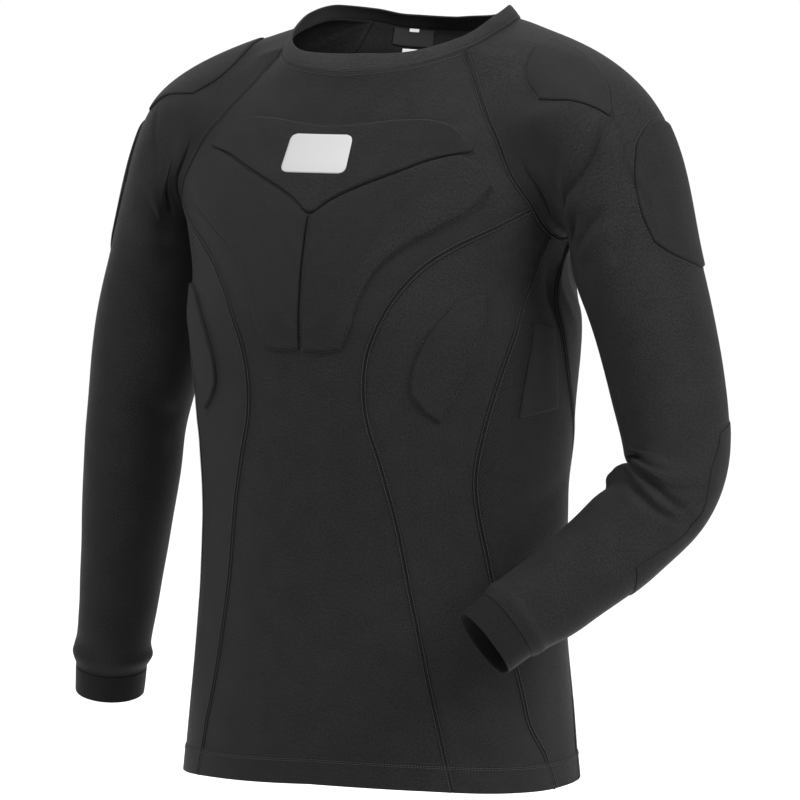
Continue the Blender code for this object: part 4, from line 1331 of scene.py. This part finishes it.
@dataclass
class NeckBand:
    """The doubled crew-neck band, the bare patch inside the back of the neck, and its white tabs."""

    rise: tuple = ((0, 0.0175), (60, 0.012), (90, 0.014), (120, 0.012), (180, 0.0135))
    lean: tuple = ((0, 0.014), (45, 0.010), (75, 0.006), (100, 0.007), (130, 0.013), (180, 0.014))
    bow: float = 0.0012
    covered: tuple = (0.012, 0.997)
    cloth: float = 0.0022
    edge: float = 0.0012
    rim: float = 0.1
    sunk: float = 0.0008
    columns: int = 230
    stitch_up: float = 0.0030
    stitch_reach: float = 0.0009
    stitch_depth: float = 0.0004
    cut: Cut = Cut(0.66, 0.019, 0.0123)
    label: Patch = Patch("neck_label_cloth", "neck_label", (196.2, 217.0), (0.0020, 0.0182), Slot.LABEL)
    tab: Patch = Patch("label_tab_cloth", "label_tab", (201.6, 211.6), (0.0204, 0.0246), Slot.TAB)
    upper_tab: Patch = Patch("label_tab_upper", "", (204.0, 209.0), (0.0012, 0.0044), Slot.TAB, 0.0011)
    label_cloth: float = 0.0006
    label_edge: float = 0.0006
    label_rim: float = 0.3
    label_clear: float = 0.0004

    def surface(self, parts: Net) -> tuple[Net, Net]:
        """Net of the band's middle and its normals, a row for each part of its height.

        Args:
            parts: parts of the band's height, 0 at its seam.

        Returns:
            Points and normals.
        """
        angles = np.linspace(0, 360, self.columns + 1)[:-1]
        places = TRUNK.neck(angles)
        low, seam_normal = TRUNK.point(places), TRUNK.normal(places)
        outward = unit(seam_normal * (1, 1, 0))
        rise, lean = [through(rows, folded(angles)) for rows in (self.rise, self.lean)]
        high = low - outward * lean + rise * (0, 0, 1)
        rows = np.asarray(parts, float)[:, None, None]
        grid = low + rows * (high - low)
        round_it = np.roll(grid, -1, axis=1) - np.roll(grid, 1, axis=1)
        normal = unit(np.cross(round_it, np.broadcast_to(high - low, grid.shape)))
        normal = unit(normal + ease(0.6, 0, rows) * (seam_normal - normal))
        turn = np.radians(angles)
        wave = 0.00022 * np.sin(7 * turn + 1.0) + 0.00018 * np.sin(11 * turn)
        swell = self.bow * 4 * rows * (1 - rows) + wave[None, :, None] * rows
        return grid + normal * swell, normal

    def build(self, knit: bpy.types.Material, label: bpy.types.Material, tab: bpy.types.Material) -> None:
        """Builds the band, the patch and its tabs."""
        start, stop = self.covered
        parts = start + (stop - start) * parts_between(14, 0.10)
        grid, normal = self.surface(parts)
        top, bottom, _, _ = edge_distance(grid)
        half = self.cloth / 2 * rounded(np.minimum(top, bottom), self.edge, self.rim)
        dent = self.stitch_depth * bell(top - self.stitch_up, self.stitch_reach)
        middle = grid - normal * self.sunk
        outer, inner = middle + normal * (half - dent)[..., None], middle - normal * half[..., None]
        skin = Skin().shell(outer, inner, True)
        piece = skin.piece("neck_band_cloth", Slot.NECK, knit)
        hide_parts("neck_band")
        self.cut.declare(piece)
        for small, material in ((self.label, label), (self.tab, tab), (self.upper_tab, tab)):
            piece = self.patch_inside(small, material)
            if small.node:
                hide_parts(small.node)

    def patch_inside(self, small: Patch, material: bpy.types.Material) -> bpy.types.Object:
        """A small flat patch inside the back of the neck, with softened edges.

        Args:
            small: its place and names.
            material: its finish.

        Returns:
            The patch.
        """
        angle, drop = np.linspace(*small.angles, 40), np.linspace(*small.drops, 18)[:, None]
        seam = TRUNK.neck(angle)[:, 1]
        places = np.stack(np.broadcast_arrays(angle[None], seam[None] - drop), -1)
        grid, normal = TRUNK.surface(places)
        top, bottom, left, right = edge_distance(grid)
        ends = np.minimum.reduce((top, bottom, left, right))
        far = grid - normal * (TrunkPanels.cloth + self.label_clear + small.lift)
        half = self.label_cloth / 2 * rounded(ends, self.label_edge, self.label_rim)[..., None]
        middle = far - normal * self.label_cloth / 2
        skin = Skin().shell(middle + normal * half, middle - normal * half, False)
        piece = skin.piece(small.name, small.slot, material)
        return piece


@dataclass(frozen=True)
class PadCut:
    """A pad's four edges on the left, as places, and its foam: top and bottom run from inner to outer."""

    top: tuple
    bottom: tuple
    inner: tuple
    outer: tuple
    height: float
    rim: float = 0.0027
    steps: tuple[int, int] = (40, 50)
    crowding: float = 0.07

    def places(self, fine: int = 6) -> Net:
        """A net of places inside the four edges, close together near them."""
        over, down = [parts_between(count, self.crowding, fine) for count in self.steps]
        top, bottom = along(self.top, over), along(self.bottom, over)
        return patch(top, bottom, along(self.inner, down), along(self.outer, down))


V_GROOVE = (
    (0, -0.1775), (8.5, -0.1665), (18, -0.1565), (29, -0.1468), (38, -0.1390), (48, -0.1290), (60, -0.1215),
)
CENTRE_GROOVE = ((0, -0.180), (0, -0.299))
CHEST_TOP = (
    (0, -0.0990), (18, -0.0972), (36, -0.0935), (49, -0.0945), (54.5, -0.0995), (57.5, -0.1090),
    (60, -0.1175),
)


def both_ways(rows: Sequence[tuple[float, float]], lift: float = 0.0) -> tuple:
    """A line given for the left, with its mirror image before it, raised by lift."""
    mirrored = [(-angle, z) for angle, z in rows[:0:-1]]
    return tuple((angle, z + lift) for angle, z in (*mirrored, *rows))


@dataclass
class Pads:
    """The raised foam pads of the chest, ribs, sides, shoulders, upper arms and elbows."""

    clear: float = 0.00012
    cover: float = 0.0006
    groove: float = 0.0008
    fullness: float = 2.2

    def profile(self, net: Net, cut: PadCut) -> Net:
        """Height of a pad over a net: flat inside, rounded off along its four edges."""
        height = np.full(net.shape[:2], cut.height)
        for far in edge_distance(net):
            t = 1 - np.clip(far / cut.rim, 0, 1)
            height = height * np.sqrt(np.maximum(1 - t**self.fullness, 0))
        return height + self.cover

    def dressed(self, node: str, grid: Net, normal: Net, cut: PadCut, cover: bpy.types.Material) -> None:
        """Makes one pad on a net of the cloth that it lies on.

        Args:
            node: the frame's node that it replaces.
            grid: points of the cloth.
            normal: normals there.
            cut: the pad's sizes.
            cover: the cover's finish.
        """
        base = grid + normal * self.clear
        outer = base + normal * self.profile(grid, cut)[..., None]
        piece = Skin().shell(outer, base, False).piece(node + "_cover", Slot.PAD, cover)
        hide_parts(node)

    def trunk_cuts(self) -> dict[str, PadCut]:
        """The trunk's pads."""
        groove, crest = both_ways(V_GROOVE, self.groove), both_ways(CHEST_TOP)
        lower_top = tuple((max(angle, 0.7), z - self.groove) for angle, z in V_GROOVE)
        return {
            "chest_pad_upper": PadCut(
                crest, groove, (crest[0], groove[0]), (crest[-1], groove[-1]), 0.0023, steps=(120, 30),
            ),
            "chest_pad": PadCut(
                lower_top[:-1] + ((57.5, -0.1245), (62.5, -0.135), (65, -0.150)),
                ((0.7, -0.297), (10, -0.2970), (15.8, -0.2945)),
                ((0.7, V_GROOVE[0][1] - self.groove), (0.7, -0.297)),
                (
                    (65, -0.150), (61.5, -0.166), (51, -0.1865), (38.5, -0.2060), (30.5, -0.2223),
                    (25.3, -0.2410), (21.7, -0.260), (18.7, -0.280), (15.8, -0.2945),
                ),
                0.0023, steps=(72, 66),
            ),
            "rib_pad": PadCut(
                ((52, -0.2568), (57, -0.2490), (62.5, -0.2455)),
                ((39.5, -0.333), (43, -0.3475), (48, -0.3590)),
                ((52, -0.2568), (46.2, -0.2741), (41.5, -0.2995), (39.5, -0.3188), (39.5, -0.333)),
                ((62.5, -0.2455), (60.6, -0.266), (56.2, -0.2985), (52.8, -0.3289), (48, -0.3590)),
                0.0028, rim=0.0021, steps=(28, 46),
            ),
            "side_pad": PadCut(
                ((77, -0.272), (85, -0.277)), ((72, -0.357), (90, -0.352)),
                ((77, -0.272), (74, -0.318), (72, -0.357)), ((85, -0.277), (87.5, -0.315), (90, -0.352)),
                0.0013, steps=(24, 40),
            ),
        }

    @staticmethod
    def sleeve_cuts() -> dict[str, PadCut]:
        """The sleeves' pads, as angles round the arm and ways down."""
        return {
            "shoulder_pad": PadCut(
                ((0, 0.047), (28, 0.051), (46, 0.062), (64, 0.088)),
                ((36, 0.173), (40, 0.176), (44, 0.170)),
                ((0, 0.047), (2, 0.080), (14, 0.122), (36, 0.173)),
                ((64, 0.088), (64, 0.108), (56, 0.136), (44, 0.170)), 0.0015, steps=(46, 44),
            ),
            "arm_pad": PadCut(
                ((-36, 0.205), (-12, 0.193), (12, 0.193), (30, 0.215)),
                ((-40, 0.318), (-14, 0.341), (8, 0.335), (38, 0.308)),
                ((-36, 0.205), (-46, 0.245), (-47, 0.285), (-40, 0.318)),
                ((30, 0.215), (42, 0.250), (44, 0.278), (38, 0.308)), 0.0016, steps=(48, 46),
            ),
            "elbow_pad": PadCut(
                ((-98, 0.545), (-60, 0.515), (-30, 0.512), (8, 0.530)),
                ((-95, 0.715), (-60, 0.752), (-25, 0.760), (12, 0.742)),
                ((-98, 0.545), (-112, 0.590), (-110, 0.665), (-95, 0.715)),
                ((8, 0.530), (14, 0.580), (0, 0.640), (12, 0.742)), 0.0005, rim=0.0110, steps=(46, 48),
            ),
        }

    def build(self, cover: bpy.types.Material) -> None:
        """Builds every pad; the cover is a little darker than the knit, which is painted shade."""
        for name, cut in self.trunk_cuts().items():
            for side in Side:
                node = name if name == "chest_pad_upper" else f"{name}_{side.word}"
                if node == name and side is Side.RIGHT:
                    continue
                grid, normal = TRUNK.surface(cut.places() * (side.value, 1))
                self.dressed(node, grid, normal, cut, cover)
        for name, cut in self.sleeve_cuts().items():
            for side in Side:
                grid, normal = sleeve_at(side, cut.places())
                self.dressed(f"{name}_{side.word}", grid, normal, cut, cover)


def sleeve_at(side: Side, places: Net, steps: int = 130) -> tuple[Net, Net]:
    """Points and normals of a sleeve at scattered places, read between those of an even net.

    Args:
        side: whose sleeve.
        places: angles round the arm in degrees, and ways down.
        steps: columns and rows of the net.

    Returns:
        Points and normals, shaped as the places.
    """
    form = SLEEVES[side]
    w = form.loop_at(places[..., 0])
    w = np.where(w > 2.5, w - 5, w)
    way = places[..., 1]
    columns = np.linspace(w.min() - 0.01, w.max() + 0.01, steps)
    rows = np.linspace(max(way.min() - 0.002, 0), way.max() + 0.002, steps)
    grid, normal = form.surface(columns, rows)
    x = (w - columns[0]) / (columns[1] - columns[0])
    y = (way - rows[0]) / (rows[1] - rows[0])
    i, j = np.clip(x.astype(int), 0, steps - 2), np.clip(y.astype(int), 0, steps - 2)
    u, v = (x - i)[..., None], (y - j)[..., None]

    def read(net: Net) -> Net:
        """The net between its points: a mean of the four round each place, by nearness."""
        upper = net[j, i] * (1 - u) + net[j, i + 1] * u
        lower = net[j + 1, i] * (1 - u) + net[j + 1, i + 1] * u
        return upper * (1 - v) + lower * v

    return read(grid), unit(read(normal))


@dataclass
class Seams:
    """The flat seams with their two rows of thread, the hem's and neck's stitches, and the pads' outlines."""

    half_width: float = 0.0031
    ridge: float = 0.00085
    valley: float = 0.00005
    row: float = 0.0017
    ridge_reach: float = 0.00075
    edge: float = 0.0006
    edge_sunk: float = 0.0002
    sunk: float = 0.0004
    joint_half_width: float = 0.0016
    joint_rise: float = 0.00012
    joint_dip: float = 0.00040
    joint_sunk: float = 0.0009
    hem_rows: tuple = (0.0228, 0.0212)
    neck_row: float = 0.0026
    thread_rise: float = 0.0001
    outline: float = 0.0010
    sleeve_scale: tuple = (0.00096, 0.52)
    trunk_scale: tuple = (0.003, 1.0)
    thread: Thread = Thread()
    fine: Thread = Thread(pitch=0.0030, stitch=0.0023, width=0.00042)

    def offsets(self) -> Net:
        """Distances across a seam at which its band has points; the seventh is its middle."""
        return np.linspace(-1, 1, 13) * self.half_width

    def thread_height(self) -> float:
        """How high a row of thread lies over the cloth, on its ridge."""
        return self.ridge + self.valley * 0.6

    def band(self, name: str, grid: Net, normal: Net, across_it: Net, material: bpy.types.Material) -> None:
        """A flat seam's band on a net of the cloth, with two soft ridges.

        Args:
            name: the piece's name.
            grid: points of the cloth, a row for each distance across.
            normal: normals there.
            across_it: the distances, from the seam's middle.
            material: the cloth; here the darker seam knit, whose darkness is painted shade of the seam's
                grooves.
        """
        far = np.abs(across_it)
        ridges = bell(far - self.row, self.ridge_reach) * self.ridge
        fade = 1 - ease(self.half_width - self.edge, self.half_width, far)
        height = (ridges + self.valley * fade - (1 - fade) * self.edge_sunk)[:, None, None]
        skin = Skin().shell(grid + normal * height, grid - normal * self.sunk, False)
        skin.piece(name, Slot.KNIT, material)

    def trunk_seam(
        self, name: str, places: Net, knit: bpy.types.Material, thread: bpy.types.Material
    ) -> None:
        """A long seam of the trunk, with its two rows of stitches."""
        offsets = self.offsets()
        net = np.stack([TRUNK.moved(places, offset) for offset in offsets])
        grid, normal = TRUNK.surface(net)
        self.band(name, grid, normal, offsets, knit)
        stitches = Skin()
        for offset in (-self.row, self.row):
            line, up = TRUNK.surface(TRUNK.moved(places, offset))
            stitches.stitches(line + up * self.thread_height(), up, self.thread)
        stitches.piece(name + "_thread", Slot.KNIT, thread)

    def raglan_seam(self, side: Side, knit: bpy.types.Material, thread: bpy.types.Material) -> None:
        """The seam round a sleeve's head, from the neck under the arm and back up to the neck."""
        form = SLEEVES[side]
        w = np.linspace(1.004, 4.996, 300)
        places = form.loop(w)[0]
        ways = self.offsets()[6:] / form.length
        sleeve_grid, sleeve_normal = form.surface(w, ways)
        trunk_net = np.stack([TRUNK.moved(places, side.value * offset) for offset in self.offsets()[:6]])
        trunk_grid, trunk_normal = TRUNK.surface(trunk_net)
        grid = np.concatenate([trunk_grid, sleeve_grid])
        normal = np.concatenate([trunk_normal, sleeve_normal])
        self.band(f"raglan_seam_{side.word}", grid, normal, self.offsets(), knit)
        stitches = Skin()
        for row in (2, -3):
            stitches.stitches(grid[row] + normal[row] * self.thread_height(), normal[row], self.thread)
        stitches.piece(f"raglan_seam_{side.word}_thread", Slot.KNIT, thread)

    def round_seams(self, knit: bpy.types.Material, band: bpy.types.Material) -> None:
        """The bands over the joints of the cuffs and of the neck band."""
        narrow = np.linspace(-1, 1, 9) * self.joint_half_width
        for side in Side:
            form = SLEEVES[side]
            grid, normal = form.surface(np.linspace(0, 5, 150), 1 + narrow / form.length)
            self.joint(f"cuff_seam_{side.word}", grid, normal, narrow, knit, Slot.KNIT)
        angle = np.linspace(0, 360, 260)
        above = np.stack([np.zeros_like(narrow), narrow], -1)
        grid, normal = TRUNK.surface(TRUNK.neck(angle) + above[:, None])
        self.joint("neck_seam", grid, normal, narrow, band, Slot.NECK)

    def joint(
        self, name: str, grid: Net, normal: Net, across_it: Net, material: bpy.types.Material, slot: Slot
    ) -> None:
        """A narrow band over a joint that is pulled in along its middle.

        Args:
            name: the piece's name.
            grid: points of the cloth, a row for each distance across.
            normal: normals there.
            across_it: the distances, from the joint.
            material: the cloth; at the cuffs the darker seam knit, whose darkness is painted shade of the
                joint.
            slot: the material slot.
        """
        dip = self.joint_dip * (1 - (across_it / across_it[-1]) ** 2)
        height = (self.joint_rise - dip)[:, None, None]
        skin = Skin().shell(grid + normal * height, grid - normal * self.joint_sunk, False)
        skin.piece(name, slot, material)

    def build(self, knit: bpy.types.Material, thread: bpy.types.Material, pads: Pads) -> None:
        """Builds every flat seam and row of stitches; the bands take the darker seam knit, whose darkness is
        painted shade of their grooves.
        """
        parts = np.linspace(0.003, 0.999, 220)
        long_seams = {
            "princess": TRUNK.princess, "side_front": TRUNK.side_front, "side_back": TRUNK.side_back,
        }
        for side in Side:
            for name, rows in long_seams.items():
                places = TRUNK.long_seam(rows, side, parts)
                self.trunk_seam(f"{name}_seam_{side.word}", places, knit, thread)
            self.raglan_seam(side, knit, thread)
        self.edge_stitches(thread)
        self.pad_outlines(thread, pads)

    def edge_stitches(self, thread: bpy.types.Material) -> None:
        """The stitches that hold the hem and the neck band."""
        skin = Skin()
        angle = np.linspace(0, 360, 1100)
        for up in self.hem_rows:
            line, normal = TRUNK.surface(TRUNK.hem(angle) + (0, up))
            skin.stitches(line + normal * TrunkPanels.hem_step, normal, self.thread)
        skin.piece("hem_thread", Slot.KNIT, thread)
        skin = Skin()
        grid, normal = NeckBand().surface(np.array([0.2, 0.21]))
        line, up = np.vstack([grid[0], grid[0, :1]]), np.vstack([normal[0], normal[0, :1]])
        skin.stitches(line + up * (3 * self.thread_rise), up, self.thread)
        line, up = TRUNK.surface(TRUNK.neck(np.linspace(0, 360, 700)) - (0, self.neck_row))
        skin.stitches(line + up * self.thread_rise, up, self.thread)
        skin.piece("neck_thread", Slot.NECK, thread)

    def pad_outlines(self, thread: bpy.types.Material, pads: Pads) -> None:
        """Stitches in the grooves between the chest pads and round every pad."""
        skin = Skin()
        for groove, count in ((both_ways(V_GROOVE), 500), (CENTRE_GROOVE, 200)):
            line, up = TRUNK.surface(along(groove, np.linspace(0, 1, count)))
            skin.stitches(line + up * self.thread_rise, up, self.fine)
        skin.piece("chest_groove_thread", Slot.PAD, thread)
        trunk_cuts, sleeve_cuts = pads.trunk_cuts(), pads.sleeve_cuts()
        for name, cut in {**trunk_cuts, **sleeve_cuts}.items():
            on_trunk = name in trunk_cuts
            for side in Side:
                if name == "chest_pad_upper" and side is Side.RIGHT:
                    continue
                places = cut.places(3)
                rim = np.concatenate([places[0], places[1:, -1], places[-1, -2::-1], places[-2::-1, 0]])
                scale = self.trunk_scale if on_trunk else self.sleeve_scale
                outwards = unit((rim - places.mean(axis=(0, 1))) * scale) / scale * self.outline
                own = self.around(rim + outwards, scale)
                line, up = TRUNK.surface(own * (side.value, 1)) if on_trunk else sleeve_at(side, own)
                skin = Skin().stitches(line, up, self.fine)
                skin.piece(f"{name}_{side.word}_thread", Slot.PAD, thread)

    @staticmethod
    def around(rim: Net, scale: tuple[float, float], step: float = 0.0008) -> Net:
        """A closed line of places resampled evenly.

        Args:
            rim: the line's places.
            scale: metres in a unit of each coordinate.
            step: the distance between its new places.

        Returns:
            The places.
        """
        size = np.linalg.norm(np.diff(rim, axis=0) * scale, axis=-1)
        way = np.concatenate([[0], np.cumsum(size)])
        even = np.arange(0, way[-1], step)
        return np.stack([np.interp(even, way, column) for column in rim.T], -1)


@dataclass
class PlainBlank:
    """The plain light film on the upper chest pad, a rounded rectangle without print."""

    angles: tuple = (-20.0, 15.0)
    heights: tuple = (-0.108, -0.142)
    corner: float = 0.006
    film: float = 0.00022
    clear: float = 0.00005

    def build(self, film: bpy.types.Material, pads: Pads) -> None:
        """Builds the film on the pad's surface."""
        rows, columns = np.linspace(0, 1, 26), np.linspace(-1, 1, 40)
        (first, last), (upper, lower) = self.angles, self.heights
        near = np.minimum(rows, 1 - rows) * abs(lower - upper)
        into_corner = np.clip(self.corner - near, 0, None)
        inset = self.corner - np.sqrt(np.maximum(self.corner**2 - into_corner**2, 0))
        degree = np.linalg.norm(np.diff(TRUNK.point(np.array([(-0.5, upper), (0.5, upper)])), axis=0))
        half = abs(last - first) / 2 - inset / degree
        angle = (first + last) / 2 + half[:, None] * columns[None]
        z = np.broadcast_to((upper + rows * (lower - upper))[:, None], angle.shape)
        grid, normal = TRUNK.surface(np.stack([angle, z], -1))
        height = pads.clear + pads.cover + pads.trunk_cuts()["chest_pad_upper"].height
        inner = grid + normal * (height + self.clear)
        skin = Skin().shell(inner + normal * self.film, inner, False)
        piece = skin.piece("chest_blank_film", Slot.TAB, film)


@dataclass
class Studio:
    """The pale floor, the bright surround, the soft lamps and the camera."""

    azimuth: float = 32.0
    elevation: float = 5.5
    distance: float = 4.0
    target: tuple = (0.0, -0.04, -0.36)
    pixel: float = 0.00092
    moved_px: tuple = (16.5, 7.0)
    picture_px: int = 800
    sensor: float = 36.0
    floor_height: float = -0.93
    floor_half: float = 14.0
    floor_grey: float = 0.97
    floor_roughness: float = 0.9
    surround_strength: float = 1.03
    view_end: float = 60.0
    key_place: tuple = (-0.30, -0.80, 1.00)
    key_size: float = 0.6
    key_watts: float = 30.0
    rim_place: tuple = (1.9, -0.30, 0.7)
    rim_size: float = 0.8
    rim_watts: float = 72.0

    def floor(self) -> None:
        """The floor, which the hem hangs above."""
        half, z = self.floor_half, self.floor_height
        mesh = bpy.data.meshes.new("studio_floor")
        corners = [(-half, -half, z), (half, -half, z), (half, half, z), (-half, half, z)]
        mesh.from_pydata(corners, [], [(0, 1, 2, 3)])
        material = bpy.data.materials.new("studio_paper")
        material.use_nodes = True
        shader = material.node_tree.nodes["Principled BSDF"]
        shader.inputs["Base Color"].default_value = (*(self.floor_grey,) * 3, 1.0)
        shader.inputs["Roughness"].default_value = self.floor_roughness
        mesh.materials.append(material)
        floor = bpy.data.objects.new("studio_floor", mesh)
        bpy.context.scene.collection.objects.link(floor)

    def lamp(self, name: str, place: tuple, size: float, watts: float) -> None:
        """A square soft white lamp aimed at the shirt.

        Args:
            name: its name.
            place: where it stands.
            size: the length of its sides.
            watts: its power.
        """
        data = bpy.data.lights.new(name, "AREA")
        data.size = size
        data.energy = watts
        lamp = bpy.data.objects.new(name, data)
        bpy.context.scene.collection.objects.link(lamp)
        lamp.location = place
        lamp.rotation_euler = (Vector(self.target) - Vector(place)).to_track_quat("-Z", "Y").to_euler()

    def camera(self) -> None:
        """The camera at the photograph's angle, aimed so that the shirt lies where it does there."""
        az, el = math.radians(self.azimuth), math.radians(self.elevation)
        back = Vector((math.sin(az) * math.cos(el), -math.cos(az) * math.cos(el), math.sin(el)))
        right = Vector((math.cos(az), math.sin(az), 0.0))
        up = back.cross(right)
        place = Vector(self.target) + back * self.distance
        aside, higher = [count * self.pixel for count in self.moved_px]
        aim = Vector(self.target) + right * aside + up * higher
        data = bpy.data.cameras.new("photo_camera")
        data.sensor_width = self.sensor
        data.lens = self.sensor * self.distance / (self.pixel * self.picture_px)
        data.clip_end = self.view_end
        camera = bpy.data.objects.new("photo_camera", data)
        bpy.context.scene.collection.objects.link(camera)
        camera.location = place
        camera.rotation_euler = (aim - place).to_track_quat("-Z", "Y").to_euler()
        bpy.context.scene.camera = camera

    def build(self) -> None:
        """Builds floor, surround, lamps and camera."""
        self.floor()
        world = bpy.data.worlds.new("surround")
        world.use_nodes = True
        background = world.node_tree.nodes["Background"]
        background.inputs["Color"].default_value = (1.0, 1.0, 1.0, 1.0)
        background.inputs["Strength"].default_value = self.surround_strength
        bpy.context.scene.world = world
        bpy.context.scene.view_settings.view_transform = "Standard"
        self.lamp("key", self.key_place, self.key_size, self.key_watts)
        self.lamp("rim", self.rim_place, self.rim_size, self.rim_watts)
        self.camera()


KNIT = ClothLook("black_knit_cloth", (0.0078, 0.0078, 0.0079))
# The pads' cover: the shirt's knit, a little darker, which is painted shade of the pads.
PAD = ClothLook("pad_cover_cloth", (0.0074, 0.0074, 0.0075))
# The seam bands and cuff joints: the shirt's knit made darker, which is painted shade of their grooves.
SEAM_PAINTED_SHADE = ClothLook("seam_knit_painted_shade", (0.0042, 0.0042, 0.0043), bump=0.3)
# The cuffs: the sleeves' knit made darker, which is painted shade of the cuffs.
CUFF_PAINTED_SHADE = ClothLook("cuff_knit", (0.0044, 0.0044, 0.0045))
BAND = ClothLook("neck_band_knit", (0.0120, 0.0120, 0.0122), roughness=0.66)
EYELETS = ClothLook("side_mesh_cloth", (0.0072, 0.0072, 0.0073), eyelets=0.0042)
WOVEN = ClothLook("woven_label", (0.016, 0.016, 0.017), contrast=0.10, pitch=0.0006, sheen=0.03, bump=0.2)
THREAD = Look("black_thread", (0.0125, 0.0125, 0.0126), contrast=0.20, roughness=0.50)
WHITE_TAPE = Look("white_tape", (0.50, 0.50, 0.495), roughness=0.6)
PALE_FILM = Look("pale_film", (0.205, 0.205, 0.206), roughness=0.55)


def main() -> None:
    """Dresses the shirt and builds the studio."""
    logging.basicConfig(level=logging.INFO)
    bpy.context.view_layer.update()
    finishes = Finishes()
    knit, mesh, pad, band, woven, seam, cuff = [
        finishes.cloth(look) for look in (KNIT, EYELETS, PAD, BAND, WOVEN, SEAM_PAINTED_SHADE, CUFF_PAINTED_SHADE)
    ]
    thread, tape, film = [finishes.plain(look) for look in (THREAD, WHITE_TAPE, PALE_FILM)]
    pads = Pads()
    TrunkPanels().build(knit, mesh)
    Sleeves().build(knit, cuff)
    NeckBand().build(band, woven, tape)
    pads.build(pad)
    seams = Seams()
    # seam is the darker seam knit: painted shade of the seams' grooves.
    seams.build(seam, thread, pads)
    seams.round_seams(seam, band)
    PlainBlank().build(film, pads)
    Studio().build()


if __name__ == "__main__":
    main()
